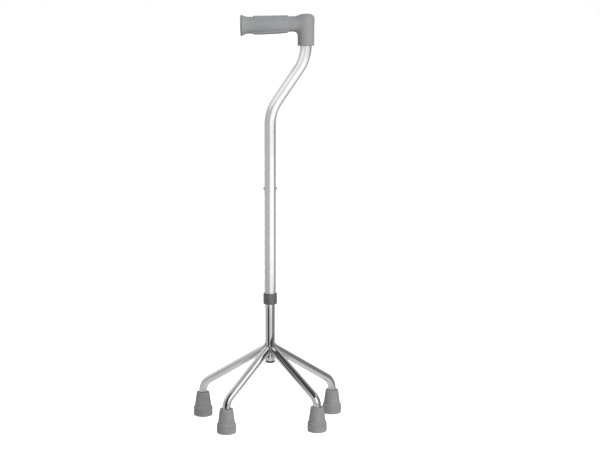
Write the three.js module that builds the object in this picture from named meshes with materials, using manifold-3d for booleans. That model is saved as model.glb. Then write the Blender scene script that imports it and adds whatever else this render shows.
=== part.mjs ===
// Quad walking cane with a swan-neck upper tube, an L-shaped moulded grip, a snap-button height
// adjustment and a welded four-legged base standing on rubber ferrules.
//
// Units are millimetres and +Z is up. The origin is on the floor at the centre of the footprint.
// The free end of the grip points to -X, the two short legs stand on the -Y side and the two long
// legs on the +Y side. The height is drawn three holes above its lowest setting.

import * as THREE from 'three';
import { mergeVertices } from 'three/addons/utils/BufferGeometryUtils.js';
import Module from 'manifold-3d';

const wasm = await Module();
wasm.setup();

// ---------------------------------------------------------------- driving dimensions

const OVERALL_HEIGHT = 790;

// Telescoping tubes
const UPPER_TUBE_DIAMETER = 22.2;
const UPPER_TUBE_WALL = 1.2;
const POST_WALL = 1.2;
const SLIDE_CLEARANCE = 0.375;
const UPPER_TUBE_BOTTOM = 242.7;
const HANDLE_OFFSET = 67;
const SWAN_NECK_ANGLE = THREE.MathUtils.degToRad(34);
const SWAN_NECK_BEND_RADIUS = 75;
const POST_BOTTOM = 127.8;
const POST_ABOVE_BUTTONS = 20;

// Height adjustment
const BUTTON_HEIGHT = 462.5;
const BUTTON_DIAMETER = 6.2;
const BUTTON_PROTRUSION = 2.4;
const BUTTON_FLANGE_LIP = 0.7;
const BUTTON_FLANGE_THICKNESS = 1;
const HOLE_PITCH = 19.05;
const HOLES_ABOVE_BUTTONS = 3;
const HOLES_BELOW_BUTTONS = 9;
const CLIP_STRIP_WIDTH = 8;
const CLIP_STRIP_THICKNESS = 0.8;
const CLIP_DEPTH = 34;
const CLIP_RISE = 6;
const CLIP_ARM_LEAN = 1.8;
const CLIP_BEND_SHARE = 0.7;

// Tube end collar
const COLLAR_WALL = 1.9;
const COLLAR_SLEEVE = 18.4;
const COLLAR_LIP = 3;
const COLLAR_EDGE_RADIUS = 1.6;

// Grip
const GRIP_LENGTH = 139;
const GRIP_HEAD_DIAMETER = 31.8;
const GRIP_HEAD_HEIGHT = 59;
const GRIP_HEAD_ROOF = 12;
const GRIP_HEAD_EDGE_RADIUS = 9;
const GRIP_ARM_DROP = 20.6;
const GRIP_FLARE_HEIGHT = 39.6;
const GRIP_NECK_HEIGHT = 31.4;
const GRIP_PAD_HEIGHT = 35.4;
const GRIP_WAIST_HEIGHT = 29.4;
const GRIP_WIDTH_RATIO = 0.86;
const GRIP_END_EDGE = 3.5;
const GRIP_FLARE_LENGTH = 14;
const GRIP_PAD_START = 25;
const GRIP_PAD_LENGTH = 64;
const GRIP_PAD_STEP = 1.5;
const GRIP_WAIST_TAPER = 4;
const GRIP_THROAT_RADIUS = 8;
const GRIP_THROAT_WIDTH = 18;

// Base
const LEG_DIAMETER = 15.9;
const LEG_WALL = 1.5;
const LEG_ELBOW_RADIUS = 30;
const LEG_SPREAD_ANGLE = THREE.MathUtils.degToRad(29.5);
const SHORT_LEG = { reach: 99.7, joinAbovePostEnd: 28.2, elbowAboveFerrule: 13.5 };
const LONG_LEG = { reach: 147.5, joinAbovePostEnd: 30.2, elbowAboveFerrule: 18.5 };
const PLUG_FLANGE = 4;
const PLUG_SPIGOT = 12;
const PLUG_EDGE_RADIUS = 1.2;

// Ferrules
const FERRULE_HEIGHT = 47.5;
const FERRULE_BASE_DIAMETER = 37.2;
const FERRULE_BASE_HEIGHT = 17.5;
const FERRULE_BASE_EDGE_RADIUS = 2;
const FERRULE_CONE_DIAMETER = 33;
const FERRULE_TOP_DIAMETER = 25.2;
const FERRULE_STEP_RISE = 2;
const FERRULE_SOLE = 9;
const WASHER_THICKNESS = 1.6;
const WASHER_HOLE_DIAMETER = 5;

// Clearances
const JOINT_GAP = 0.3;
const RUNNING_CLEARANCE = 0.25;
const BUTTON_CLEARANCE = 0.25;
const BROKEN_EDGE = 1;
const CUT_MARGIN = 1;

// Facets
const TUBE_FACETS = 24;
const HOLE_FACETS = 12;
const BEND_STEPS = 6;
const EDGE_STEPS = 4;
const SMALL_EDGE_STEPS = 2;

// ---------------------------------------------------------------- derived sizes

const upperTubeRadius = UPPER_TUBE_DIAMETER / 2;
const upperTubeBore = upperTubeRadius - UPPER_TUBE_WALL;
const postRadius = upperTubeBore - SLIDE_CLEARANCE;
const postBore = postRadius - POST_WALL;
const postTop = BUTTON_HEIGHT + POST_ABOVE_BUTTONS;
const legRadius = LEG_DIAMETER / 2;
const buttonRadius = BUTTON_DIAMETER / 2;
const buttonHoleRadius = buttonRadius + BUTTON_CLEARANCE;
const gripHeadRadius = GRIP_HEAD_DIAMETER / 2;
const gripMouth = OVERALL_HEIGHT - GRIP_HEAD_HEIGHT;
const gripArmHeight = OVERALL_HEIGHT - GRIP_ARM_DROP;
const gripBoreRadius = upperTubeRadius + JOINT_GAP;
const upperTubeTop = OVERALL_HEIGHT - GRIP_HEAD_ROOF - JOINT_GAP;
const legEnd = FERRULE_SOLE + WASHER_THICKNESS + 2 * JOINT_GAP;

// The post stands off the centre of the footprint because the long legs reach further than the
// short ones.
const footprintShift = (LONG_LEG.reach - SHORT_LEG.reach) * Math.sin(LEG_SPREAD_ANGLE) / 2;

// ---------------------------------------------------------------- materials

function finish(color, roughness, metalness) {
  return new THREE.MeshStandardMaterial({ color, roughness, metalness });
}

const gripPlastic = finish(0x94969a, 0.6, 0);
const anodisedAluminium = finish(0xd4d6d8, 0.32, 1);
const chromePlate = finish(0xe2e4e6, 0.08, 1);
const collarPlastic = finish(0x55585c, 0.5, 0);
const ferruleRubber = finish(0x868b8e, 0.75, 0);
const plugPlastic = finish(0x2a2b2d, 0.5, 0);
const springSteel = finish(0x8f9296, 0.35, 1);
const brass = finish(0xb9a75e, 0.3, 1);
const zincSteel = finish(0xb4b8bb, 0.4, 1);

// ---------------------------------------------------------------- solids

// A closed geometry as a solid that can be joined and cut.
function solidOf(geometry) {
  const bare = geometry.clone();
  bare.deleteAttribute('normal');
  bare.deleteAttribute('uv');
  const merged = mergeVertices(bare, 1e-4);
  const vertProperties = new Float32Array(merged.attributes.position.array);
  const triVerts = new Uint32Array(merged.index.array);
  return new wasm.Manifold(new wasm.Mesh({ numProp: 3, vertProperties, triVerts }));
}

// A solid as a geometry again.
function geometryOf(solid) {
  const mesh = solid.getMesh();
  const geometry = new THREE.BufferGeometry();
  geometry.setAttribute('position', new THREE.BufferAttribute(new Float32Array(mesh.vertProperties), 3));
  geometry.setIndex(new THREE.BufferAttribute(new Uint32Array(mesh.triVerts), 1));
  geometry.computeVertexNormals();
  return geometry;
}

function disc(radius) {
  const shape = new THREE.Shape();
  shape.absarc(0, 0, radius, 0, 2 * Math.PI, false);
  return shape;
}

function ring(radius, bore) {
  const shape = disc(radius);
  const hole = new THREE.Path();
  hole.absarc(0, 0, bore, 0, 2 * Math.PI, true);
  shape.holes.push(hole);
  return shape;
}

// A straight prism of a section from one height to another, along +Z.
function upright(section, bottom, top, facets = TUBE_FACETS) {
  const settings = { depth: top - bottom, steps: 1, bevelEnabled: false, curveSegments: facets / 2 };
  return new THREE.ExtrudeGeometry(section, settings).translate(0, 0, bottom);
}

// A profile of [radius, height] points turned about +Z, counter-clockwise with its solid inside.
function turned(profile, facets = TUBE_FACETS) {
  const points = profile.map(([radius, height]) => new THREE.Vector2(radius, height));
  return new THREE.LatheGeometry(points, facets).rotateX(Math.PI / 2);
}

// The points of a rounded profile corner, as an arc about a centre between two angles in degrees.
function arc(centreRadius, centreHeight, radius, startAngle, endAngle, steps = EDGE_STEPS) {
  return Array.from({ length: steps + 1 }, (_, i) => {
    const angle = THREE.MathUtils.degToRad(startAngle + (endAngle - startAngle) * i / steps);
    return [centreRadius + radius * Math.cos(angle), centreHeight + radius * Math.sin(angle)];
  });
}

// A line through corner points with an arc of one radius at each inner corner. Its stations are the
// two ends and evenly turned points on each arc, so that a straight stretch takes a single step.
class BentLine extends THREE.Curve {
  constructor(corners, bendRadius, bendSteps = BEND_STEPS) {
    super();
    const directions = corners.slice(1).map((corner, i) => corner.clone().sub(corners[i]).normalize());
    this.stations = [{ point: corners[0], tangent: directions[0] }];
    for (let i = 1; i < corners.length - 1; i += 1) {
      this.addBend(corners[i], directions[i - 1], directions[i], bendRadius, bendSteps);
    }
    this.stations.push({ point: corners.at(-1), tangent: directions.at(-1) });
    this.steps = this.stations.length - 1;
  }

  addBend(corner, along, away, radius, bendSteps) {
    const turn = along.angleTo(away);
    const inward = away.clone().addScaledVector(along, -Math.cos(turn)).divideScalar(Math.sin(turn));
    const start = corner.clone().addScaledVector(along, -radius * Math.tan(turn / 2));
    const centre = start.clone().addScaledVector(inward, radius);
    for (let i = 0; i <= bendSteps; i += 1) {
      const angle = turn * i / bendSteps;
      const point = centre.clone().addScaledVector(inward, -radius * Math.cos(angle));
      point.addScaledVector(along, radius * Math.sin(angle));
      const tangent = along.clone().multiplyScalar(Math.cos(angle));
      tangent.addScaledVector(inward, Math.sin(angle));
      this.stations.push({ point, tangent });
    }
  }

  between(key, u, target) {
    const place = THREE.MathUtils.clamp(u, 0, 1) * this.steps;
    const index = Math.min(Math.floor(place + 1e-9), this.steps - 1);
    const share = place - index;
    return target.lerpVectors(this.stations[index][key], this.stations[index + 1][key], share);
  }

  getPoint(u, target = new THREE.Vector3()) {
    return this.between('point', u, target);
  }

  getPointAt(u, target = new THREE.Vector3()) {
    return this.between('point', u, target);
  }

  getTangentAt(u, target = new THREE.Vector3()) {
    return this.between('tangent', u, target).normalize();
  }
}

function swept(section, line, facets = TUBE_FACETS) {
  const settings = { extrudePath: line, steps: line.steps, bevelEnabled: false, curveSegments: facets / 2 };
  return new THREE.ExtrudeGeometry(section, settings);
}

function named(name, geometry, material) {
  const mesh = new THREE.Mesh(geometry, material);
  mesh.name = name;
  return mesh;
}

// ---------------------------------------------------------------- upper section

function makeUpperTube() {
  const bendTangent = SWAN_NECK_BEND_RADIUS * Math.tan(SWAN_NECK_ANGLE / 2);
  const upperCorner = gripMouth - JOINT_GAP - bendTangent;
  const lowerCorner = upperCorner - HANDLE_OFFSET / Math.tan(SWAN_NECK_ANGLE);
  const line = new BentLine([
    new THREE.Vector3(0, 0, UPPER_TUBE_BOTTOM),
    new THREE.Vector3(0, 0, lowerCorner),
    new THREE.Vector3(HANDLE_OFFSET, 0, upperCorner),
    new THREE.Vector3(HANDLE_OFFSET, 0, upperTubeTop),
  ], SWAN_NECK_BEND_RADIUS);
  let tube = solidOf(swept(ring(upperTubeRadius, upperTubeBore), line));
  for (let i = -HOLES_BELOW_BUTTONS; i <= HOLES_ABOVE_BUTTONS; i += 1) {
    tube = tube.subtract(crossDrill(buttonHoleRadius, upperTubeRadius, BUTTON_HEIGHT + i * HOLE_PITCH));
  }
  return named('upper_tube', geometryOf(tube), anodisedAluminium);
}

// A drill along X through both walls of a tube that stands on the post's axis.
function crossDrill(radius, tubeRadius, height) {
  const length = 2 * (tubeRadius + CUT_MARGIN);
  const drill = new THREE.CylinderGeometry(radius, radius, length, HOLE_FACETS).rotateZ(Math.PI / 2);
  return solidOf(drill.translate(0, 0, height));
}

// The collar sleeves the end of the upper tube, and its lip guides the post.
function makeCollar() {
  const outer = upperTubeRadius + JOINT_GAP + COLLAR_WALL;
  const sleeveBore = upperTubeRadius + JOINT_GAP;
  const lipBore = postRadius + RUNNING_CLEARANCE;
  const lipTop = UPPER_TUBE_BOTTOM - JOINT_GAP;
  const bottom = lipTop - COLLAR_LIP;
  const top = lipTop + COLLAR_SLEEVE;
  const topEdge = COLLAR_EDGE_RADIUS / 2;
  const profile = [
    [lipBore, bottom],
    ...arc(outer - COLLAR_EDGE_RADIUS, bottom + COLLAR_EDGE_RADIUS, COLLAR_EDGE_RADIUS, -90, 0),
    ...arc(outer - topEdge, top - topEdge, topEdge, 0, 90, SMALL_EDGE_STEPS),
    [sleeveBore, top],
    [sleeveBore, lipTop],
    [lipBore, lipTop],
    [lipBore, bottom],
  ];
  return named('tube_collar', turned(profile), collarPlastic);
}

// The grip's arm as a turned profile: a flared end, a neck, a raised palm pad and a waist that runs
// into the head. Distances are measured from the free end.
function gripArm() {
  const end = GRIP_LENGTH - gripHeadRadius;
  const flare = GRIP_FLARE_HEIGHT / 2;
  const neck = GRIP_NECK_HEIGHT / 2;
  const pad = GRIP_PAD_HEIGHT / 2;
  const waist = GRIP_WAIST_HEIGHT / 2;
  const padEnd = GRIP_PAD_START + GRIP_PAD_LENGTH;
  const flareCurve = Array.from({ length: EDGE_STEPS + 1 }, (_, i) => {
    const share = i / EDGE_STEPS;
    return [flare + (neck - flare) * Math.sin(share * Math.PI / 2), GRIP_END_EDGE + GRIP_FLARE_LENGTH * share];
  });
  const profile = [
    [0, 0],
    [flare - GRIP_END_EDGE / 2, 0],
    ...flareCurve,
    [neck, GRIP_PAD_START],
    [pad, GRIP_PAD_START + GRIP_PAD_STEP],
    [pad, padEnd - GRIP_PAD_STEP],
    [waist, padEnd + GRIP_WAIST_TAPER],
    [waist, end],
    [0, end],
  ];
  const arm = turned(profile);
  arm.rotateY(Math.PI / 2);
  arm.scale(1, GRIP_WIDTH_RATIO, 1);
  return arm.translate(HANDLE_OFFSET - end, 0, gripArmHeight);
}

// The web that rounds the corner between the underside of the arm and the socket.
function gripThroat() {
  const corner = HANDLE_OFFSET - gripHeadRadius;
  const underside = gripArmHeight - GRIP_WAIST_HEIGHT / 2;
  const root = gripHeadRadius;
  const section = new THREE.Shape();
  section.moveTo(corner - GRIP_THROAT_RADIUS, underside);
  section.absarc(corner - GRIP_THROAT_RADIUS, underside - GRIP_THROAT_RADIUS, GRIP_THROAT_RADIUS,
    Math.PI / 2, 0, true);
  section.lineTo(corner + root, underside - GRIP_THROAT_RADIUS);
  section.lineTo(corner + root, gripArmHeight);
  section.lineTo(corner - GRIP_THROAT_RADIUS, gripArmHeight);
  section.closePath();
  const settings = { depth: GRIP_THROAT_WIDTH, steps: 1, bevelEnabled: false, curveSegments: EDGE_STEPS };
  const web = new THREE.ExtrudeGeometry(section, settings).rotateX(Math.PI / 2);
  return web.translate(0, GRIP_THROAT_WIDTH / 2, 0);
}

function makeGrip() {
  const edge = GRIP_HEAD_EDGE_RADIUS;
  const head = turned([
    [0, gripMouth],
    [gripHeadRadius - BROKEN_EDGE, gripMouth],
    [gripHeadRadius, gripMouth + BROKEN_EDGE],
    ...arc(gripHeadRadius - edge, OVERALL_HEIGHT - edge, edge, 0, 90),
    [0, OVERALL_HEIGHT],
  ]).translate(HANDLE_OFFSET, 0, 0);
  const bore = upright(disc(gripBoreRadius), gripMouth - CUT_MARGIN, OVERALL_HEIGHT - GRIP_HEAD_ROOF)
    .translate(HANDLE_OFFSET, 0, 0);
  const grip = solidOf(gripArm()).add(solidOf(head)).add(solidOf(gripThroat())).subtract(solidOf(bore));
  return named('grip', geometryOf(grip), gripPlastic);
}

// ---------------------------------------------------------------- post and snap buttons

function makePost() {
  const tube = solidOf(upright(ring(postRadius, postBore), POST_BOTTOM, postTop));
  const post = tube.subtract(crossDrill(buttonHoleRadius, postRadius, BUTTON_HEIGHT));
  return named('post', geometryOf(post), chromePlate);
}

// The plug closes the lower end of the post with a flange as wide as the tube.
function makePostPlug() {
  const flangeTop = POST_BOTTOM - JOINT_GAP;
  const flangeBottom = POST_BOTTOM - PLUG_FLANGE;
  const spigot = postBore - JOINT_GAP;
  const spigotTop = POST_BOTTOM + PLUG_SPIGOT;
  const profile = [
    [0, flangeBottom],
    ...arc(postRadius - PLUG_EDGE_RADIUS, flangeBottom + PLUG_EDGE_RADIUS, PLUG_EDGE_RADIUS, -90, 0),
    [postRadius, flangeTop],
    [spigot, flangeTop],
    [spigot, spigotTop - BROKEN_EDGE],
    [spigot - BROKEN_EDGE, spigotTop],
    [0, spigotTop],
  ];
  return named('post_plug', turned(profile), plugPlastic);
}

// The flange of a button stays inside the bore of the post, as far out as the round wall allows.
const flangeRadius = buttonRadius + BUTTON_FLANGE_LIP;
const flangeSeat = Math.sqrt((postBore - JOINT_GAP) ** 2 - flangeRadius ** 2);
const buttonTip = upperTubeRadius + BUTTON_PROTRUSION;

// A snap button: a domed stud with a flange behind it, pointing to +X or -X.
function makeButton(name, side) {
  const domeStart = buttonTip - buttonRadius;
  const profile = [
    [0, flangeSeat - BUTTON_FLANGE_THICKNESS],
    [flangeRadius, flangeSeat - BUTTON_FLANGE_THICKNESS],
    [flangeRadius, flangeSeat],
    [buttonRadius, flangeSeat],
    ...arc(0, domeStart, buttonRadius, 0, 90),
  ];
  const stud = turned(profile, HOLE_FACETS * 2).rotateY(side * Math.PI / 2);
  return named(name, stud.translate(0, 0, BUTTON_HEIGHT), brass);
}

// The spring clip is one strip bent to a V inside the post, with an arm behind each button. The bend
// at its foot takes up most of the space between the arms.
function makeSpringClip() {
  const armTop = flangeSeat - BUTTON_FLANGE_THICKNESS - JOINT_GAP - CLIP_STRIP_THICKNESS / 2;
  const armBottom = armTop - CLIP_ARM_LEAN;
  const bendRadius = armBottom * CLIP_BEND_SHARE;
  const line = new BentLine([
    new THREE.Vector3(-armTop, 0, BUTTON_HEIGHT + CLIP_RISE),
    new THREE.Vector3(-armBottom, 0, BUTTON_HEIGHT - CLIP_DEPTH),
    new THREE.Vector3(armBottom, 0, BUTTON_HEIGHT - CLIP_DEPTH),
    new THREE.Vector3(armTop, 0, BUTTON_HEIGHT + CLIP_RISE),
  ], bendRadius, EDGE_STEPS);
  const halfWidth = CLIP_STRIP_WIDTH / 2;
  const halfThickness = CLIP_STRIP_THICKNESS / 2;
  const strip = new THREE.Shape();
  strip.moveTo(-halfWidth, -halfThickness);
  strip.lineTo(halfWidth, -halfThickness);
  strip.lineTo(halfWidth, halfThickness);
  strip.lineTo(-halfWidth, halfThickness);
  strip.closePath();
  return named('spring_clip', swept(strip, line), springSteel);
}

// ---------------------------------------------------------------- legs and feet

// A leg runs straight from the post's axis to an elbow above its ferrule, then straight down.
function legLine(leg, bearing, end) {
  const outward = new THREE.Vector3(Math.cos(bearing), Math.sin(bearing), 0);
  const foot = outward.clone().multiplyScalar(leg.reach);
  return new BentLine([
    new THREE.Vector3(0, 0, POST_BOTTOM + leg.joinAbovePostEnd),
    foot.clone().setZ(FERRULE_HEIGHT + leg.elbowAboveFerrule),
    foot.clone().setZ(end),
  ], LEG_ELBOW_RADIUS);
}

function makeFerrule(name, foot) {
  const base = FERRULE_BASE_DIAMETER / 2;
  const coneBottom = FERRULE_CONE_DIAMETER / 2;
  const coneTop = FERRULE_TOP_DIAMETER / 2;
  const bore = legRadius + JOINT_GAP;
  const profile = [
    [0, 0],
    ...arc(base - FERRULE_BASE_EDGE_RADIUS, FERRULE_BASE_EDGE_RADIUS, FERRULE_BASE_EDGE_RADIUS, -90, 0),
    [base, FERRULE_BASE_HEIGHT],
    [coneBottom, FERRULE_BASE_HEIGHT + FERRULE_STEP_RISE],
    [coneTop, FERRULE_HEIGHT - BROKEN_EDGE],
    [coneTop - BROKEN_EDGE, FERRULE_HEIGHT],
    [bore, FERRULE_HEIGHT],
    [bore, FERRULE_SOLE],
    [0, FERRULE_SOLE],
  ];
  const ferrule = named(name, turned(profile), ferruleRubber);
  ferrule.position.copy(foot);
  return ferrule;
}

// The steel washer that keeps the tube from cutting through the sole.
function makeWasher(name, foot) {
  const bottom = FERRULE_SOLE + JOINT_GAP;
  const section = ring(legRadius, WASHER_HOLE_DIAMETER / 2);
  const washer = named(name, upright(section, bottom, bottom + WASHER_THICKNESS), zincSteel);
  washer.position.copy(foot);
  return washer;
}

// The space behind the post's axis, seen from a leg, which the cope leaves empty however thick the
// leg is.
function behindPost(leg, bearing) {
  const size = 2 * (legRadius + CUT_MARGIN);
  const block = new THREE.BoxGeometry(size, size, size).translate(-size / 2, 0, 0).rotateZ(bearing);
  return solidOf(block.translate(0, 0, POST_BOTTOM + leg.joinAbovePostEnd));
}

// The four legs are coped around the post and around the legs fitted before them, with the weld gap
// left between.
function makeBase() {
  const base = new THREE.Group();
  const corners = [
    { name: 'short_left', leg: SHORT_LEG, bearing: Math.PI + LEG_SPREAD_ANGLE },
    { name: 'short_right', leg: SHORT_LEG, bearing: -LEG_SPREAD_ANGLE },
    { name: 'long_left', leg: LONG_LEG, bearing: Math.PI - LEG_SPREAD_ANGLE },
    { name: 'long_right', leg: LONG_LEG, bearing: LEG_SPREAD_ANGLE },
  ];
  let fitted = solidOf(upright(disc(postRadius + JOINT_GAP), POST_BOTTOM, postTop));
  for (const { name, leg, bearing } of corners) {
    const tube = solidOf(swept(ring(legRadius, legRadius - LEG_WALL), legLine(leg, bearing, legEnd)));
    const coped = tube.subtract(fitted).subtract(behindPost(leg, bearing));
    base.add(named(`leg_${name}`, geometryOf(coped), chromePlate));
    const envelope = swept(disc(legRadius + JOINT_GAP), legLine(leg, bearing, FERRULE_HEIGHT));
    fitted = fitted.add(solidOf(envelope));
    const foot = new THREE.Vector3(Math.cos(bearing), Math.sin(bearing), 0).multiplyScalar(leg.reach);
    base.add(makeFerrule(`ferrule_${name}`, foot));
    base.add(makeWasher(`washer_${name}`, foot));
  }
  return base;
}

// ---------------------------------------------------------------- assembly

const upperSection = new THREE.Group();
upperSection.add(makeUpperTube(), makeCollar(), makeGrip());

const lowerSection = new THREE.Group();
lowerSection.add(makePost(), makePostPlug(), makeSpringClip(), makeBase());
lowerSection.add(makeButton('snap_button_left', -1), makeButton('snap_button_right', 1));

const cane = new THREE.Group();
cane.position.set(0, -footprintShift, 0);
cane.add(upperSection, lowerSection);

export default cane;
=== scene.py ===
"""Looks of a quad walking cane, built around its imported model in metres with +Z up.

The upper section is a drawn aluminium tube with a swan neck, a moulded L-shaped grip and a collar.
The lower section is a chromed post with snap buttons, and four welded legs on rubber ferrules.
"""
import logging
import math
from dataclasses import dataclass, field
from enum import Enum

import bmesh
import bpy
import numpy as np
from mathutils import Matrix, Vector


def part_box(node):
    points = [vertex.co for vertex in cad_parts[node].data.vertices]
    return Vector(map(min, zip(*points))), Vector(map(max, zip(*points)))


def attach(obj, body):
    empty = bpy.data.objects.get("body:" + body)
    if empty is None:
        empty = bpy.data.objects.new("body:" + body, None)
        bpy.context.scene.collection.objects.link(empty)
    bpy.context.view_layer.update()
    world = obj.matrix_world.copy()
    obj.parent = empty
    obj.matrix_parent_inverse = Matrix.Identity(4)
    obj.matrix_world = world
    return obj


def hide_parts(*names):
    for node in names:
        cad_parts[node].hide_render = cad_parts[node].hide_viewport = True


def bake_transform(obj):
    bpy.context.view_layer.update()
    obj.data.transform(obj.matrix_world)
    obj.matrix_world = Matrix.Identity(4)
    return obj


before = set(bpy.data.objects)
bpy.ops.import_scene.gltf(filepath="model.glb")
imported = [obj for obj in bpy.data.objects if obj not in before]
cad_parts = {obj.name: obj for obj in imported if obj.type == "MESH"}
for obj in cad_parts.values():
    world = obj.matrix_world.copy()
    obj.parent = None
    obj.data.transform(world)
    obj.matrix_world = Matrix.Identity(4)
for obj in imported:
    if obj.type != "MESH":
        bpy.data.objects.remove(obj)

log = logging.getLogger("quad_cane")

Colour = tuple[float, float, float]

MM = 0.001
FULL_TURN = 2 * math.pi
QUARTER_TURN = math.pi / 2
UP = Vector((0, 0, 1))
WHITE = (1.0, 1.0, 1.0, 1.0)

# Steps round a turned piece, round the post's holes, along a weld and across a board.
ROUND_COLUMNS = 64
FINE_COLUMNS = 96
SMALL_COLUMNS = 48
POST_QUARTER = 16
SEAM_COLUMNS = 240
CARD_COLUMNS = 9
# Steps on small arcs and on the rims of holes.
SMALL_ARC = 3
RIM_STEPS = 4
# A smaller turn than this isn't rounded, and a flat is held at this share of the arc's radius.
STRAIGHT_TURN = 1e-3
HOLD_SHARE = 0.35
WELD_DISTANCE = 2e-6
# Rows on a plain stretch of tube, and how round each ring of a hole's patch is, from its square.
PLAIN_STEP = 14 * MM
PATCH_FADE = (0.0, 0.3, 0.55, 0.78, 0.93)
BROKEN_EDGE = 0.25 * MM
# How far past the pads the grip's top, underside and width go on changing.
LAST_SHARES = (1.12, 1.08, 1.0)
HALVINGS = 32
# How far a coped end goes into what it meets, and the length over which its rows even out.
COPE_INSET = 0.3 * MM
COPE_MARGIN = 2 * MM
SEAM_SMOOTHINGS = 6


# ---------------------------------------------------------------- surfaces

def eased(value: np.ndarray, low: float, high: float) -> np.ndarray:
    """Smooth step: 0 below low, 1 above high, and 3t^2 - 2t^3 between."""
    share = np.clip((value - low) / (high - low), 0.0, 1.0)
    return share * share * (3 - 2 * share)


def spaced(low: float, high: float, step: float) -> np.ndarray:
    """Evenly spaced values from low to high, both included, no further apart than step."""
    count = max(1, math.ceil(abs(high - low) / step - 1e-9))
    return np.linspace(low, high, count + 1)


def running_length(points: np.ndarray) -> np.ndarray:
    """Length along a line of points, from its first point to each one."""
    steps = np.linalg.norm(np.diff(points, axis=0), axis=1)
    return np.concatenate([[0.0], np.cumsum(steps)])


def charted(across: np.ndarray, along: np.ndarray) -> np.ndarray:
    """Surface coordinates (rows, columns, 2) from the ways across and along a surface."""
    return np.stack(np.broadcast_arrays(across, along), -1)


def directions(angle: np.ndarray, first: np.ndarray, second: np.ndarray) -> np.ndarray:
    """Directions at angles from the first direction towards the second."""
    return np.cos(angle)[..., None] * first + np.sin(angle)[..., None] * second


def turn_between(along: np.ndarray, away: np.ndarray) -> float:
    """Angle between two unit directions."""
    return math.acos(float(np.clip(along @ away, -1, 1)))


def corner_arc(spot: np.ndarray, along: np.ndarray, away: np.ndarray, radius: float,
               angles: np.ndarray) -> tuple[np.ndarray, np.ndarray]:
    """The arc that touches both sides of a corner, from radius * tan(turn / 2) before it.

    Args:
        spot: the corner.
        along: unit direction into the corner.
        away: unit direction out of it.
        radius: radius of the arc.
        angles: angles turned so far (n, 1).

    Returns:
        The points and the directions at those angles.
    """
    turn = turn_between(along, away)
    inward = (away - along * math.cos(turn)) / math.sin(turn)
    centre = spot - along * radius * math.tan(turn / 2) + inward * radius
    points = centre - inward * radius * np.cos(angles) + along * radius * np.sin(angles)
    return points, along * np.cos(angles) + inward * np.sin(angles)


def rounded(corners: list[tuple[float, float, float]], arc_steps: int = 6) -> np.ndarray:
    """A profile with its corners rounded.

    Each corner is cut back by radius * tan(turn / 2) on both sides and bridged by an arc that
    touches them, with one more point just outside the arc to hold the flat next to it.

    Args:
        corners: (distance from the axis, height, corner radius) in order round the section.
        arc_steps: steps on each arc.

    Returns:
        Points (n, 2) of distance from the axis and height.
    """
    spots = np.array([corner[:2] for corner in corners], float)
    made = [spots[:1]]
    for before, spot, after, corner in zip(spots[:-2], spots[1:-1], spots[2:], corners[1:-1]):
        radius = corner[2]
        along = (spot - before) / np.linalg.norm(spot - before)
        away = (after - spot) / np.linalg.norm(after - spot)
        turn = turn_between(along, away)
        if radius <= 0 or turn < STRAIGHT_TURN:
            made.append(spot[None])
            continue
        angles = np.linspace(0, turn, arc_steps + 1)[:, None]
        curve, _ = corner_arc(spot, along, away, radius, angles)
        hold = radius * HOLD_SHARE
        made += [curve[:1] - along * hold, curve, curve[-1:] + away * hold]
    made.append(spots[-1:])
    return np.concatenate(made)


@dataclass(frozen=True)
class Line:
    """A flat line of straight stretches and arcs, known at its stations.

    Attributes:
        points: stations (n, 3).
        tangents: unit directions at the stations (n, 3).
        side: unit normal of the plane that the line lies in.
        lengths: length from the start to each station (n,).
    """

    points: np.ndarray
    tangents: np.ndarray
    side: np.ndarray
    lengths: np.ndarray

    @staticmethod
    def bent(corners: list[Vector], radius: float, marks: np.ndarray,
             turn_step: float = 0.05) -> "Line":
        """A line through corners, bent to one radius at each inner corner.

        Args:
            corners: the ends and the corner points between them.
            radius: bend radius of the centre line.
            marks: lengths from the start at which the first straight stretch has stations.
            turn_step: largest turn between two stations on a bend, in radians.

        Returns:
            The line, with stations at the marks, on the bends and at the end.
        """
        spots = np.array([tuple(corner) for corner in corners], float)
        ways = np.diff(spots, axis=0)
        ways /= np.linalg.norm(ways, axis=1)[:, None]
        points = [spots[0] + marks[:, None] * ways[0]]
        tangents = [np.repeat(ways[:1], len(marks), axis=0)]
        for spot, along, away in zip(spots[1:-1], ways[:-1], ways[1:]):
            angles = spaced(0, turn_between(along, away), turn_step)[:, None]
            curve, curve_ways = corner_arc(spot, along, away, radius, angles)
            points.append(curve)
            tangents.append(curve_ways)
        points.append(spots[-1:])
        tangents.append(ways[-1:])
        stations = np.concatenate(points)
        side = np.cross(ways[0], ways[1])
        return Line(stations, np.concatenate(tangents), side / np.linalg.norm(side),
                    running_length(stations))

    def at(self, length: np.ndarray, angle: np.ndarray, radius: np.ndarray) -> np.ndarray:
        """Points round the line: the place on the line plus radius times a unit ring vector.

        The ring vector is cos(angle) * across + sin(angle) * side, where across is the side
        turned square to the line's direction.

        Args:
            length: length along the line, any shape.
            angle: angle round the line, same shape.
            radius: distance from the line, same shape.

        Returns:
            Points of that shape with a last axis of 3.
        """
        place, way = (np.stack([np.interp(length, self.lengths, part) for part in values.T], -1)
                      for values in (self.points, self.tangents))
        way /= np.linalg.norm(way, axis=-1, keepdims=True)
        before = np.minimum(length, 0.0)[..., None] * self.tangents[0]
        ring = directions(angle, np.cross(self.side, way), self.side)
        return place + before + radius[..., None] * ring


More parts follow.
